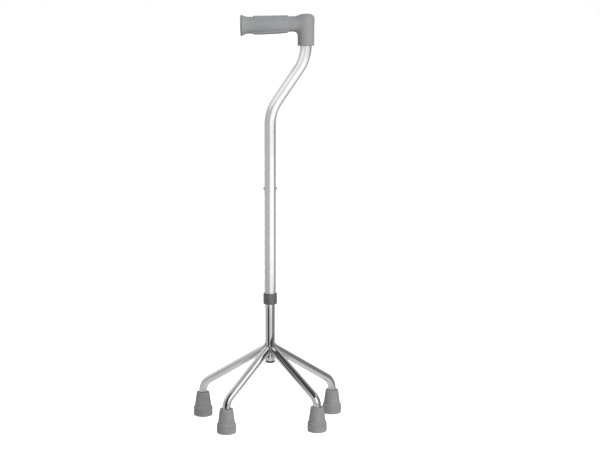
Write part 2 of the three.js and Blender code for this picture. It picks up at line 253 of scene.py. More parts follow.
class Shell:
    """Grids of points that are joined into one closed mesh."""

    def __init__(self) -> None:
        """Starts with no surface."""
        self.points: list[np.ndarray] = []
        self.charts: list[np.ndarray] = []
        self.quads: list[np.ndarray] = []
        self.count = 0

    def add(self, grid: np.ndarray, chart: np.ndarray, keep: np.ndarray | None = None) -> None:
        """Adds a grid as quads between neighbouring points.

        Args:
            grid: points (rows, columns, 3).
            chart: surface coordinates (rows, columns, 2) in metres, kept as the UV map.
            keep: which quads to make (rows - 1, columns - 1), or None for all.
        """
        rows, columns = grid.shape[:2]
        index = self.count + np.arange(rows * columns).reshape(rows, columns)
        quads = np.stack([index[:-1, :-1], index[:-1, 1:], index[1:, 1:], index[1:, :-1]], axis=-1)
        self.quads.append(quads.reshape(-1, 4) if keep is None else quads[keep])
        self.points.append(grid.reshape(-1, 3))
        self.charts.append(chart.reshape(-1, 2))
        self.count += rows * columns

    def build(self, name: str) -> bpy.types.Object:
        """Welds the grids' shared edges, turns the faces outward and makes the object.

        Args:
            name: the object's name.

        Returns:
            The new object, at the origin, with smooth faces.
        """
        points = np.concatenate(self.points)
        quads = np.concatenate(self.quads)
        charts = np.concatenate(self.charts)
        mesh = bpy.data.meshes.new(name)
        mesh.from_pydata(points.tolist(), [], quads.tolist())
        mesh.uv_layers.new(name="Chart").data.foreach_set("uv", charts[quads.ravel()].ravel())
        work = bmesh.new()
        work.from_mesh(mesh)
        bmesh.ops.remove_doubles(work, verts=work.verts, dist=WELD_DISTANCE)
        bmesh.ops.dissolve_degenerate(work, edges=work.edges, dist=WELD_DISTANCE / 4)
        bmesh.ops.recalc_face_normals(work, faces=work.faces)
        work.to_mesh(mesh)
        work.free()
        mesh.polygons.foreach_set("use_smooth", np.ones(len(mesh.polygons), bool))
        thing = bpy.data.objects.new(name, mesh)
        bpy.context.scene.collection.objects.link(thing)
        return thing


def skinned(name: str, grid: np.ndarray, chart: np.ndarray) -> bpy.types.Object:
    """Makes an object of one grid with its surface coordinates."""
    shell = Shell()
    shell.add(grid, chart)
    return shell.build(name)


def turned(name: str, profile: np.ndarray, centre: Vector, axis: Vector = UP,
           columns: int = ROUND_COLUMNS) -> bpy.types.Object:
    """Makes an object of a profile turned about an axis.

    Each point lies at centre + height * axis + distance * ring(angle).

    Args:
        name: the object's name.
        profile: points (n, 2) of distance from the axis and height along it.
        centre: point on the axis where height is 0.
        axis: unit direction of the axis.
        columns: steps round the axis.

    Returns:
        The new object.
    """
    way = np.array(axis, float)
    first = np.array(axis.orthogonal().normalized(), float)
    angle = np.linspace(0, FULL_TURN, columns + 1)
    ring = directions(angle, first, np.cross(way, first))
    grid = np.array(centre, float) + profile[:, None, 1:] * way + profile[:, None, :1] * ring
    widest = profile[:, 0].max()
    return skinned(name, grid, charted(angle * widest, running_length(profile)[:, None]))


@dataclass(frozen=True)
class Extent:
    """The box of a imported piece.

    Attributes:
        low: its lowest corner.
        high: its highest corner.
    """

    low: Vector
    high: Vector

    @property
    def foot(self) -> Vector:
        """Middle of the underside."""
        return Vector(((self.low.x + self.high.x) / 2, (self.low.y + self.high.y) / 2, self.low.z))

    @property
    def half_x(self) -> float:
        """Half the width along X, which is the radius of an upright round piece."""
        return (self.high.x - self.low.x) / 2

    @property
    def half_y(self) -> float:
        """Half the width along Y."""
        return (self.high.y - self.low.y) / 2

    @property
    def height(self) -> float:
        """Height from the underside to the top."""
        return self.high.z - self.low.z

    @property
    def middle_z(self) -> float:
        """Height of the middle above the floor."""
        return (self.low.z + self.high.z) / 2

    def above(self, height: float) -> Vector:
        """The point over the middle of the underside at a height above the floor."""
        return Vector((*self.foot.xy, height))


def wall_rows(marks: np.ndarray, outer: float, bore: float,
              edge: float) -> tuple[np.ndarray, np.ndarray]:
    """Rows round a tube's wall: up the outside, over the end, down the bore and back under.

    Args:
        marks: lengths along the tube at which the walls have rows, ends included.
        outer: outer radius.
        bore: inner radius.
        edge: size of the broken edges at both ends.

    Returns:
        Length and radius of each row, the last row being the first again.
    """
    inner_marks = marks[(marks > marks[0] + edge) & (marks < marks[-1] - edge)]
    up = np.concatenate([[marks[0] + edge], inner_marks, [marks[-1] - edge]])
    length = np.concatenate([up, [marks[-1], marks[-1]], up[::-1], [marks[0], marks[0], up[0]]])
    radius = np.concatenate([
        np.full(len(up), outer), [outer - edge, bore + edge],
        np.full(len(up), bore), [bore + edge, outer - edge, outer],
    ])
    return length, radius


def dress(piece: bpy.types.Object, body: str, slot: str, finish: bpy.types.Material,
          *nodes: str) -> bpy.types.Object:
    """Gives a piece its finish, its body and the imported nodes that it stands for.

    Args:
        piece: the new object.
        body: name of the body that it moves with.
        slot: name of the record's material slot; not used.
        finish: its material.
        nodes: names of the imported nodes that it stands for.

    Returns:
        The piece.
    """
    piece.data.materials.clear()
    piece.data.materials.append(finish)
    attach(piece, body)
    if nodes:
        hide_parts(*nodes)
    log.info("%s: %d faces on %s", piece.name, len(piece.data.polygons), body)
    return piece


# ---------------------------------------------------------------- material node groups

@dataclass(frozen=True)
class Noise:
    """Settings of a noise texture.

    Attributes:
        scale: patches per metre.
        detail: layers of finer noise.
        rough: strength of the finer layers.
    """

    scale: float
    detail: float = 3.0
    rough: float = 0.55


@dataclass(frozen=True)
class Band:
    """A span of a pattern's values that is stretched to a span of a mask's.

    Attributes:
        low, high: the pattern's values.
        to_low, to_high: the mask's values.
    """

    low: float
    high: float
    to_low: float = 0.0
    to_high: float = 1.0


GRAIN_SCALE = 2600.0
GRAIN_SOFTNESS = 0.6
GRAIN_CELLS, GRAIN_SPECKLE, GRAIN_SWELL = 0.6, 0.35, 0.2
SPECKLE_NOISE = Noise(1900.0, 2.0)
SWELL_NOISE = Noise(90.0)
SMUDGE_NOISE = Noise(28.0, 4.0, 0.6)
SMUDGE_BAND = Band(0.42, 0.68)
STREAK_NOISE = Noise(420.0, 3.0, 0.7)
STREAK_BAND = Band(0.35, 0.7, to_low=0.25)
LINES_ACROSS, LINES_ALONG = 2200.0, 14.0
LINE_NOISE = Noise(1.0, 4.0, 0.65)
DUST_NOISE = Noise(260.0, 5.0, 0.65)
DUST_BAND = Band(0.35, 0.7)
DUST_COVER = 0.55
DUST_ROUGH = 0.15
MOTTLE_BAND = Band(0.3, 0.7)
RIPPLE_NOISE = Noise(130.0, 2.0, 0.5)
METAL_SMUDGE_PATCH = 22.0


class Wiring:
    """A node tree being filled in, with short calls to add nodes and links."""

    def __init__(self, tree: bpy.types.NodeTree) -> None:
        """Keeps the tree that the nodes go in."""
        self.tree = tree

    def node(self, kind: str, inputs: dict | None = None, **settings) -> bpy.types.Node:
        """Adds a node.

        Args:
            kind: the node's type name.
            inputs: values or sockets for its inputs, by name or number.
            settings: properties of the node, such as operation.

        Returns:
            The node.
        """
        made = self.tree.nodes.new(kind)
        for key, value in settings.items():
            setattr(made, key, value)
        for key, value in (inputs or {}).items():
            self.feed(made.inputs[key], value)
        return made

    def feed(self, socket: bpy.types.NodeSocket, value) -> None:
        """Links an input to a socket, or sets it to a value."""
        if isinstance(value, bpy.types.NodeSocket):
            self.tree.links.new(value, socket)
        else:
            socket.default_value = value

    def math(self, operation: str, first, second=0.0, clamp: bool = False) -> bpy.types.NodeSocket:
        """Adds a Math node on two values or sockets and returns its output."""
        inputs = {0: first, 1: second}
        return self.node("ShaderNodeMath", inputs, operation=operation, use_clamp=clamp).outputs[0]

    def span(self, value, band: Band) -> bpy.types.NodeSocket:
        """Stretches a value over a band, clamped, and returns the output."""
        made = self.node("ShaderNodeMapRange", {
            "Value": value, "From Min": band.low, "From Max": band.high,
            "To Min": band.to_low, "To Max": band.to_high,
        })
        return made.outputs["Result"]

    def noise(self, vector, recipe: Noise, scale=None) -> bpy.types.NodeSocket:
        """Adds a noise texture, at its own scale or a given one, and returns its value."""
        made = self.node("ShaderNodeTexNoise", {
            "Vector": vector, "Scale": recipe.scale if scale is None else scale,
            "Detail": recipe.detail, "Roughness": recipe.rough,
        })
        return made.outputs["Fac"]

    def mix(self, share, first, second) -> bpy.types.NodeSocket:
        """Mixes two colours by a share and returns the colour."""
        made = self.node("ShaderNodeMix", {0: share, 6: first, 7: second}, data_type="RGBA")
        return made.outputs[2]


class Effect(Enum):
    """The shared surface effects, each a node group that is built once."""

    GRAIN = "moulded_grain"
    SMUDGE = "handling_smudge"
    DRAWN = "drawn_lines"
    DUST = "settled_dust"


_groups: dict[Effect, bpy.types.NodeTree] = {}


def _start_group(effect: Effect, **numbers: float) -> tuple[Wiring, bpy.types.Node]:
    """Starts a node group with a Vector input and number inputs.

    Args:
        effect: which effect the group is.
        numbers: names and default values of its number inputs.

    Returns:
        The wiring and the group's input node.
    """
    tree = bpy.data.node_groups.new(effect.value, "ShaderNodeTree")
    tree.interface.new_socket("Vector", in_out="INPUT", socket_type="NodeSocketVector")
    for name, value in numbers.items():
        socket = tree.interface.new_socket(name, in_out="INPUT", socket_type="NodeSocketFloat")
        socket.default_value = value
    wiring = Wiring(tree)
    return wiring, wiring.node("NodeGroupInput")


def _end_group(wiring: Wiring, effect: Effect, outputs: dict[str, bpy.types.NodeSocket]) -> None:
    """Adds the group's outputs and keeps the group."""
    for name in outputs:
        wiring.tree.interface.new_socket(name, in_out="OUTPUT", socket_type="NodeSocketFloat")
    end = wiring.node("NodeGroupOutput")
    for name, socket in outputs.items():
        wiring.tree.links.new(socket, end.inputs[name])
    _groups[effect] = wiring.tree


def grain_group() -> None:
    """Spark-eroded mould grain: fine cells over a softer swell, as a height, and a mottle mask."""
    wiring, start = _start_group(Effect.GRAIN)
    vector = start.outputs["Vector"]
    cells = wiring.node("ShaderNodeTexVoronoi", feature="SMOOTH_F1")
    for name, value in (("Vector", vector), ("Scale", GRAIN_SCALE), ("Smoothness", GRAIN_SOFTNESS)):
        wiring.feed(cells.inputs[name], value)
    fine = wiring.math("MULTIPLY", cells.outputs["Distance"], GRAIN_CELLS)
    speckle = wiring.math("MULTIPLY", wiring.noise(vector, SPECKLE_NOISE), GRAIN_SPECKLE)
    swell = wiring.noise(vector, SWELL_NOISE)
    height = wiring.math("ADD", wiring.math("ADD", fine, speckle),
                         wiring.math("MULTIPLY", swell, GRAIN_SWELL))
    _end_group(wiring, Effect.GRAIN, {"Height": height, "Mottle": swell})


def smudge_group() -> None:
    """Handling marks: broad soft patches times fine wiping streaks, as a mask from 0 to 1."""
    wiring, start = _start_group(Effect.SMUDGE, Patch=SMUDGE_NOISE.scale)
    vector = start.outputs["Vector"]
    patches = wiring.noise(vector, SMUDGE_NOISE, start.outputs["Patch"])
    patch = wiring.span(patches, SMUDGE_BAND)
    streak = wiring.span(wiring.noise(vector, STREAK_NOISE), STREAK_BAND)
    _end_group(wiring, Effect.SMUDGE, {"Mask": wiring.math("MULTIPLY", patch, streak)})


def drawn_group() -> None:
    """Die lines of a drawn tube: noise stretched a hundredfold along the tube, as a value."""
    wiring, start = _start_group(Effect.DRAWN)
    parts = wiring.node("ShaderNodeSeparateXYZ", {0: start.outputs["Vector"]})
    across = wiring.math("MULTIPLY", parts.outputs[0], LINES_ACROSS)
    along = wiring.math("MULTIPLY", parts.outputs[1], LINES_ALONG)
    stretched = wiring.node("ShaderNodeCombineXYZ", {0: across, 1: along})
    lines = wiring.noise(stretched.outputs[0], LINE_NOISE)
    _end_group(wiring, Effect.DRAWN, {"Lines": lines})


def dust_group() -> None:
    """Dust and scuffing that fades with height above the floor, broken up by noise, as a mask."""
    wiring, start = _start_group(Effect.DUST, Reach=0.012)
    vector = start.outputs["Vector"]
    height = wiring.node("ShaderNodeSeparateXYZ", {0: vector}).outputs[2]
    risen = wiring.math("DIVIDE", height, start.outputs["Reach"])
    low = wiring.math("SUBTRACT", 1.0, risen, clamp=True)
    broken = wiring.span(wiring.noise(vector, DUST_NOISE), DUST_BAND)
    _end_group(wiring, Effect.DUST, {"Mask": wiring.math("MULTIPLY", low, broken)})


GROUP_BUILDERS = {
    Effect.GRAIN: grain_group,
    Effect.SMUDGE: smudge_group,
    Effect.DRAWN: drawn_group,
    Effect.DUST: dust_group,
}


class Place(Enum):
    """Where a material reads its pattern from."""

    OBJECT = "Object"
    CHART = "UV"


class Paint(Wiring):
    """A material's node tree with its Principled shader and calls for the shared effects."""

    def __init__(self, name: str) -> None:
        """Makes the material and its shader.

        Args:
            name: the material's name.
        """
        self.material = bpy.data.materials.new(name)
        self.material.use_nodes = True
        super().__init__(self.material.node_tree)
        self.tree.nodes.clear()
        self.shader = self.node("ShaderNodeBsdfPrincipled")
        output = self.node("ShaderNodeOutputMaterial")
        self.tree.links.new(self.shader.outputs[0], output.inputs[0])
        self.coordinates = self.node("ShaderNodeTexCoord")

    def place(self, place: Place) -> bpy.types.NodeSocket:
        """The coordinates of that kind."""
        return self.coordinates.outputs[place.value]

    def effect(self, effect: Effect, place: Place, **numbers: float) -> bpy.types.Node:
        """Places a shared effect with its own numbers.

        Args:
            effect: which effect.
            place: the coordinates that it reads.
            numbers: values for the group's inputs.

        Returns:
            The group node.
        """
        if effect not in _groups:
            GROUP_BUILDERS[effect]()
        made = self.node("ShaderNodeGroup", node_tree=_groups[effect])
        self.tree.links.new(self.place(place), made.inputs["Vector"])
        for name, value in numbers.items():
            made.inputs[name.capitalize()].default_value = value
        return made

    def set(self, **values) -> None:
        """Sets or links the shader's inputs; an underscore in a name stands for a space."""
        for key, value in values.items():
            self.feed(self.shader.inputs[key.replace("_", " ").title()], value)

    def bump(self, height: bpy.types.NodeSocket, distance: float) -> None:
        """Feeds a height through a Bump node to the shader's normal."""
        made = self.node("ShaderNodeBump",
                         {"Height": height, "Distance": distance, "Strength": 1.0})
        self.tree.links.new(made.outputs["Normal"], self.shader.inputs["Normal"])


def rgba(colour: Colour, factor: float = 1.0) -> tuple[float, float, float, float]:
    """A colour times a factor, with full alpha."""
    return (colour[0] * factor, colour[1] * factor, colour[2] * factor, 1.0)


@dataclass(frozen=True)
class MouldedFinish:
    """Moulded plastic or rubber with mould grain, mottling and handling marks.

    Attributes:
        name: the material's name.
        colour: base colour, linear.
        roughness: mean roughness.
        grain: depth of the mould grain in metres.
        mottle: how far the colour varies, as a share.
        handled: how much the handling marks polish the surface.
        dust_reach: height above the floor that dust and scuffs reach, or 0.
        dust: colour of the dust.
        shine: strength of the mirror reflection, 0.5 being usual.
    """

    name: str
    colour: Colour
    roughness: float
    grain: float = 0.00006
    mottle: float = 0.06
    handled: float = 0.1
    dust_reach: float = 0.0
    dust: Colour = (0.42, 0.41, 0.39)
    shine: float = 0.5

    def material(self) -> bpy.types.Material:
        """Builds the material: grain as bump, mottle on colour, handling marks on roughness."""
        paint = Paint(self.name)
        grain = paint.effect(Effect.GRAIN, Place.OBJECT)
        smudge = paint.effect(Effect.SMUDGE, Place.OBJECT)
        share = paint.span(grain.outputs["Mottle"], MOTTLE_BAND)
        colour = paint.mix(share, rgba(self.colour, 1 - self.mottle),
                           rgba(self.colour, 1 + self.mottle))
        rough = paint.math("SUBTRACT", self.roughness,
                           paint.math("MULTIPLY", smudge.outputs["Mask"], self.handled))
        if self.dust_reach > 0:
            dust = paint.effect(Effect.DUST, Place.OBJECT, reach=self.dust_reach)
            worn = paint.math("MULTIPLY", dust.outputs["Mask"], DUST_COVER)
            colour = paint.mix(worn, colour, rgba(self.dust))
            rough = paint.math("ADD", rough, paint.math("MULTIPLY", worn, DUST_ROUGH), clamp=True)
        paint.set(base_color=colour, roughness=rough)
        paint.shader.inputs["Specular IOR Level"].default_value = self.shine
        paint.bump(grain.outputs["Height"], self.grain)
        return paint.material


@dataclass(frozen=True)
class MetalFinish:
    """Bare, plated or anodised metal with drawing lines and handling marks.

    Attributes:
        name: the material's name.
        colour: reflected colour, linear.
        roughness: roughness of the clean metal.
        line_depth: depth of the drawing lines in metres.
        line_rough: how far the drawing lines vary the roughness.
        smudge_rough: roughness added where it has been handled.
        tarnish: how much the smudges darken the colour, as a share.
        orange_peel: depth of the plating's slow ripple in metres.
        place: the coordinates that the lines follow.
    """

    name: str
    colour: Colour
    roughness: float
    line_depth: float = 0.0
    line_rough: float = 0.04
    smudge_rough: float = 0.06
    tarnish: float = 0.04
    orange_peel: float = 0.0
    place: Place = Place.CHART

    def material(self) -> bpy.types.Material:
        """Builds the material: lines and ripple as bump, smudges on roughness and colour."""
        paint = Paint(self.name)
        lines = paint.effect(Effect.DRAWN, self.place).outputs["Lines"]
        smudge = paint.effect(Effect.SMUDGE, Place.OBJECT, patch=METAL_SMUDGE_PATCH).outputs["Mask"]
        ripple = paint.noise(paint.place(Place.OBJECT), RIPPLE_NOISE)
        drawn = Band(MOTTLE_BAND.low, MOTTLE_BAND.high, self.roughness - self.line_rough / 2,
                     self.roughness + self.line_rough / 2)
        rough = paint.math("ADD", paint.span(lines, drawn),
                           paint.math("MULTIPLY", smudge, self.smudge_rough))
        colour = paint.mix(smudge, rgba(self.colour), rgba(self.colour, 1 - self.tarnish))
        height = paint.math("ADD", paint.math("MULTIPLY", lines, self.line_depth),
                            paint.math("MULTIPLY", ripple, self.orange_peel))
        paint.set(base_color=colour, roughness=rough)
        paint.shader.inputs["Metallic"].default_value = 1.0
        paint.bump(height, 1.0)
        return paint.material


@dataclass(frozen=True)
class Finishes:
    """The cane's finishes."""

    grip: MouldedFinish = MouldedFinish("grip_grey_vinyl", (0.245, 0.251, 0.259), 0.5, mottle=0.03)
    collar: MouldedFinish = MouldedFinish("collar_dark_grey", (0.088, 0.091, 0.095), 0.22,
                                          grain=0.00004, handled=0.08, shine=1.0)
    plug: MouldedFinish = MouldedFinish("plug_black", (0.02, 0.02, 0.022), 0.45, grain=0.00003)
    ferrule: MouldedFinish = MouldedFinish("ferrule_grey_rubber", (0.262, 0.270, 0.277), 0.72,
                                           grain=0.00009, mottle=0.07, dust_reach=0.012)
    aluminium: MetalFinish = MetalFinish("satin_anodised", (0.80, 0.81, 0.82), 0.27,
                                         line_depth=0.000003, line_rough=0.09, smudge_rough=0.05)
    chrome: MetalFinish = MetalFinish("bright_chrome", (0.80, 0.81, 0.82), 0.07,
                                      line_depth=0.0000015, line_rough=0.04, smudge_rough=0.06,
                                      orange_peel=0.000012)
    # The weld bead's colour is kept well below the chrome's as painted shade: it darkens the joints
    # at the hub where contact shadow falls. Its ripple, smudges and tarnish are its own surface.
    weld: MetalFinish = MetalFinish("chromed_weld_painted_shade", (0.46, 0.47, 0.48), 0.2, orange_peel=0.00006,
                                    smudge_rough=0.12, tarnish=0.12)
    brass: MetalFinish = MetalFinish("snap_button_brass", (0.60, 0.53, 0.27), 0.24,
                                     smudge_rough=0.14, tarnish=0.25, line_rough=0.05)
    spring: MetalFinish = MetalFinish("spring_steel", (0.42, 0.43, 0.45), 0.3, tarnish=0.2)
    zinc: MetalFinish = MetalFinish("zinc_plate", (0.62, 0.64, 0.66), 0.34, tarnish=0.15,
                                    orange_peel=0.00002)


# ---------------------------------------------------------------- upper section

@dataclass(frozen=True)
class DrilledTube:
    """A bent tube with pairs of round cross holes along its first straight stretch.

    Round each hole a square patch of the wall is a grid between the square and the hole's edge,
    which goes over a rounded rim, through the wall and out again over the bore.

    Attributes:
        line: the tube's centre line.
        outer: outer radius.
        bore: inner radius.
        holes: lengths along the line where a pair of holes lies.
        hole_radius: radius of the holes.
        half_patch: half the length of the patch round a hole.
        quarter: columns in a quarter turn, and rows in a patch.
        edge: broken edge of the tube's ends.
        rim: radius of the rounded edge of the holes.
    """

    line: Line
    outer: float
    bore: float
    holes: np.ndarray
    hole_radius: float
    half_patch: float
    quarter: int = 12
    edge: float = BROKEN_EDGE
    rim: float = 0.3 * MM

    @staticmethod
    def marks(holes: np.ndarray, half_patch: float, end: float, quarter: int = 12) -> np.ndarray:
        """Lengths for the rows of the straight stretch: even over the patches, wider elsewhere."""
        low, high = holes.min() - half_patch, holes.max() + half_patch
        rows = round((high - low) / (2 * half_patch)) * quarter
        return np.concatenate([
            spaced(0, low, PLAIN_STEP)[:-1], np.linspace(low, high, rows + 1),
            spaced(high, end, PLAIN_STEP)[1:],
        ])

    def build(self, name: str, marks: np.ndarray) -> bpy.types.Object:
        """Makes the tube's mesh.

        Args:
            name: the object's name.
            marks: lengths of the rows, from marks() and the line's stations.

        Returns:
            The tube.
        """
        shell = Shell()
        length, radius = wall_rows(marks, self.outer, self.bore, self.edge)
        angle = np.linspace(-math.pi / 4, FULL_TURN - math.pi / 4, 4 * self.quarter + 1)
        lengths, angles = np.broadcast_arrays(length[:, None], angle[None])
        radii = np.broadcast_to(radius[:, None], lengths.shape)
        low, high = self.holes.min() - self.half_patch, self.holes.max() + self.half_patch
        middle = (length[:-1] + length[1:]) / 2
        wall = np.abs(np.diff(length)) > 1e-9
        drilled_rows = wall & (middle > low) & (middle < high) & (np.diff(radius) == 0)
        quadrant = np.arange(4 * self.quarter) // self.quarter
        keep = ~(drilled_rows[:, None] & (quadrant % 2 == 0)[None])
        chart = np.stack([angles * self.outer, lengths], -1)
        shell.add(self.line.at(lengths, angles, radii), chart, keep)
        for spot in self.holes:
            for facing in (0.0, math.pi):
                shell.add(*self.patch(spot, facing))
        return shell.build(name)

    def patch(self, spot: float, facing: float) -> tuple[np.ndarray, np.ndarray]:
        """The wall round one hole, from the square on the outside to the square in the bore.

        Each ring of the patch is a mix of the square and of a circle of its own radius, which
        lies on a cylinder of its own radius: angle = asin(circle radius * cos(turn) / cylinder).

        Args:
            spot: length along the line of the hole's centre.
            facing: angle round the tube that the hole faces.

        Returns:
            The grid and its chart.
        """
        side = np.linspace(-1, 1, self.quarter + 1)
        edge, back = np.ones(self.quarter), side[::-1][1:]
        square_x = np.concatenate([side, edge, back, -edge])
        square_y = np.concatenate([-edge[:1], -edge, side[1:], edge, back])
        turn = np.linspace(-0.75 * math.pi, 1.25 * math.pi, 4 * self.quarter + 1)
        bend = np.linspace(0, QUARTER_TURN, RIM_STEPS)
        fade = np.array(PATCH_FADE)
        circle = self.hole_radius + self.rim
        share = np.concatenate([fade, np.ones(2 * len(bend)), fade[::-1]])
        rings = np.concatenate([
            np.full(len(fade), circle), circle - self.rim * np.sin(bend),
            circle - self.rim * np.cos(bend), np.full(len(fade), circle),
        ])
        shells = np.concatenate([
            np.full(len(fade), self.outer), self.outer - self.rim * (1 - np.cos(bend)),
            self.bore + self.rim * (1 - np.sin(bend)), np.full(len(fade), self.bore),
        ])
        round_angle = np.arcsin(rings[:, None] * np.cos(turn) / shells[:, None])
        square_angle = square_x * math.pi / 4
        mixed = (1 - share[:, None]) * square_angle + share[:, None] * round_angle
        rise = (1 - share[:, None]) * square_y * self.half_patch
        rise = spot + rise + share[:, None] * rings[:, None] * np.sin(turn)
        radii = np.broadcast_to(shells[:, None], mixed.shape)
        chart = np.stack([(facing + mixed) * self.outer, rise], -1)
        return self.line.at(rise, facing + mixed, radii), chart


@dataclass(frozen=True)
class GripPlace:
    """Where the grip stands.

    Attributes:
        end: X of the free end.
        root: X at which the arm begins to run into the head.
        axis: X of the head's axis.
        middle: Y of the plane of symmetry.
        mouth, top: heights of the socket's mouth and of the head's top.
        arm: height of the arm's axis.
        turn: angles of the columns round the grip.
    """

    end: float
    root: float
    axis: float
    middle: float
    mouth: float
    top: float
    arm: float
    turn: np.ndarray


@dataclass(frozen=True)
class Grip:
    """The moulded L-shaped grip: a flared arm with raised pads, and a head with the tube's socket.

    Its skin is a grid: rows run from the free end along the arm, fan round the corner and go down
    the head, and in each row a point lies where a ray from the middle meets the smooth union of
    the arm and the head.

    Attributes:
        head_radius: radius of the socket's outside.
        head_edge: radius of the head's upper edge.
        roof: thickness above the tube.
        axis_drop: height of the head's top above the arm's axis.
        neck_top, neck_bottom: half heights of the arm behind its flared end.
        root_top, root_bottom: half heights of the arm at the head.
        flare_top, flare_bottom: how far the free end flares out beyond the neck.
        flare_length: length of the flare.
        neck_width, palm_width, root_width, flare_width: half widths along the arm.
        pad_start, pad_end: ends of the raised pads, from the free end.
        pad_raise: height of the pads above the arm.
        pad_above: angles from straight up at which the upper pad begins and ends its slope.
        pad_below: angle from straight down that the lower pad reaches at its start and its end.
        pad_slope: angle over which the lower pad slopes.
        rib_pitch, rib_depth: the cross ribs on the pads.
        rib_reach: angles at which the ribs begin to fade and are gone.
        squareness: exponent of the arm's section, 2 being an ellipse.
        fan_radius: radius of the fan of rows at the corner.
        union_width: distance over which the arm and the head run into each other.
        root_inset: how far the arm ends before the head's axis.
        crown_slope: fall of the head's top towards the arm.
        crown_start: how far beyond the head's axis the fall begins.
        end_rim, end_dome: rounding and bulge of the free end's face.
        flare_start: where the flare begins to fade.
        flare_power: how fast it fades.
        mouth_edge: radius of the rounded edge at the socket's mouth.
        socket_gap: clearance round the tube.
        blend_margin: how far before the union the arm's rows are handed over.
        coarse_step, fine_step, head_step: spacing of the rows.
        longest_ray: a distance that is outside the grip from any row's middle.
        columns: steps round the grip.
    """

    head_radius: float = 15.9 * MM
    head_edge: float = 9.0 * MM
    roof: float = 12.0 * MM
    axis_drop: float = 20.6 * MM
    neck_top: float = 15.45 * MM
    neck_bottom: float = 16.0 * MM
    root_top: float = 16.3 * MM
    root_bottom: float = 12.9 * MM
    flare_top: float = 3.65 * MM
    flare_bottom: float = 4.6 * MM
    flare_length: float = 12.5 * MM
    neck_width: float = 13.6 * MM
    palm_width: float = 15.2 * MM
    root_width: float = 13.0 * MM
    flare_width: float = 3.3 * MM
    pad_start: float = 25.0 * MM
    pad_end: float = 88.6 * MM
    pad_raise: float = 2.0 * MM
    pad_above: tuple[float, float] = (0.60, 0.70)
    pad_below: tuple[float, float] = (0.52, 0.78)
    pad_slope: float = 0.1
    rib_reach: tuple[float, float] = (0.40, 0.50)
    rib_pitch: float = 3.2 * MM
    rib_depth: float = 0.35 * MM
    squareness: float = 2.3
    fan_radius: float = 22.0 * MM
    union_width: float = 9.0 * MM
    root_inset: float = 8.0 * MM
    crown_slope: float = 0.17
    crown_start: float = 1.5 * MM
    end_rim: float = 2.0 * MM
    end_dome: float = 0.6 * MM
    flare_start: float = 2.6 * MM
    flare_power: float = 1.6
    mouth_edge: float = 1.2 * MM
    socket_gap: float = 0.25 * MM
    blend_margin: float = 4 * MM
    coarse_step: float = 0.9 * MM
    fine_step: float = 0.4 * MM
    head_step: float = 1.2 * MM
    longest_ray: float = 44.0 * MM
    columns: int = 144

    def build(self, finish: bpy.types.Material) -> None:
        """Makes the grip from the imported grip's box and dresses it."""
        low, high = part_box("grip")
        axis = high.x - self.head_radius
        place = GripPlace(
            end=low.x, root=axis - self.head_radius - self.union_width - self.blend_margin,
            axis=axis, middle=(low.y + high.y) / 2, mouth=low.z, top=high.z,
            arm=high.z - self.axis_drop, turn=np.linspace(-math.pi, math.pi, self.columns + 1),
        )
        shell = Shell()
        self.add_arm(shell, place)
        self.add_corner_and_head(shell, place)
        self.add_socket(shell, place)
        dress(shell.build("grip_moulding"), "upper", "grip_plastic", finish, "grip")

    def halves(self, run: np.ndarray) -> tuple[np.ndarray, np.ndarray, np.ndarray]:
        """Half height above, half height below and half width at a distance from the free end.

        The flare fades as (1 - t)^1.6 over its length, the underside rises as the square of the
        distance past the neck, and the width swells as a half wave under the palm.
        """
        fade = np.clip(1 - (run - self.flare_start) / self.flare_length, 0, 1) ** self.flare_power
        share = (run - self.pad_start) / (self.pad_end - self.pad_start)
        top_share, bottom_share, width_share = (np.clip(share, 0, most) for most in LAST_SHARES)
        top = self.neck_top + (self.root_top - self.neck_top) * top_share
        bottom = self.neck_bottom + (self.root_bottom - self.neck_bottom) * bottom_share ** 2
        width = self.neck_width + (self.root_width - self.neck_width) * width_share
        swell = self.palm_width - (self.neck_width + self.root_width) / 2
        width = width + swell * np.sin(width_share * math.pi)
        return (top + self.flare_top * fade, bottom + self.flare_bottom * fade,
                width + self.flare_width * fade)

    def section(self, run: np.ndarray, turn: np.ndarray) -> np.ndarray:
        """Distance from the arm's axis to its skin: a superellipse with unequal halves.

        Args:
            run: distance from the free end (rows, 1).
            turn: angle from straight up (columns,).

        Returns:
            Distances (rows, columns).
        """
        top, bottom, width = self.halves(run)
        height = np.where(np.cos(turn) >= 0, top, bottom)
        power = self.squareness
        total = (np.abs(np.cos(turn)) / height) ** power + (np.abs(np.sin(turn)) / width) ** power
        return total ** (-1 / power)

    def pads(self, run: np.ndarray, turn: np.ndarray) -> np.ndarray:
        """Height of the raised pads on the top and the underside, with their cross ribs."""
        start, end = self.pad_start, self.pad_end
        along = eased(run, start - 0.5 * MM, start + 0.5 * MM)
        along = along * (1 - eased(run, end - 0.6 * MM, end + 1.2 * MM))
        share = np.clip((run - start) / (end - start), 0, 1)
        from_top = np.abs(turn)
        above = 1 - eased(from_top, *self.pad_above)
        reach = self.pad_below[0] + (self.pad_below[1] - self.pad_below[0]) * share
        below = 1 - eased(math.pi - from_top, reach, reach + self.pad_slope)
        ribs = self.rib_depth * (0.5 - 0.5 * np.cos(FULL_TURN * (run - start) / self.rib_pitch))
        inset = eased(run, start + 2 * MM, start + 3 * MM)
        inset = inset * (1 - eased(run, end - 3 * MM, end - 2 * MM))
        crown = 1 - eased(np.minimum(from_top, math.pi - from_top), *self.rib_reach)
        return along * (above + below) * self.pad_raise - ribs * inset * crown * along

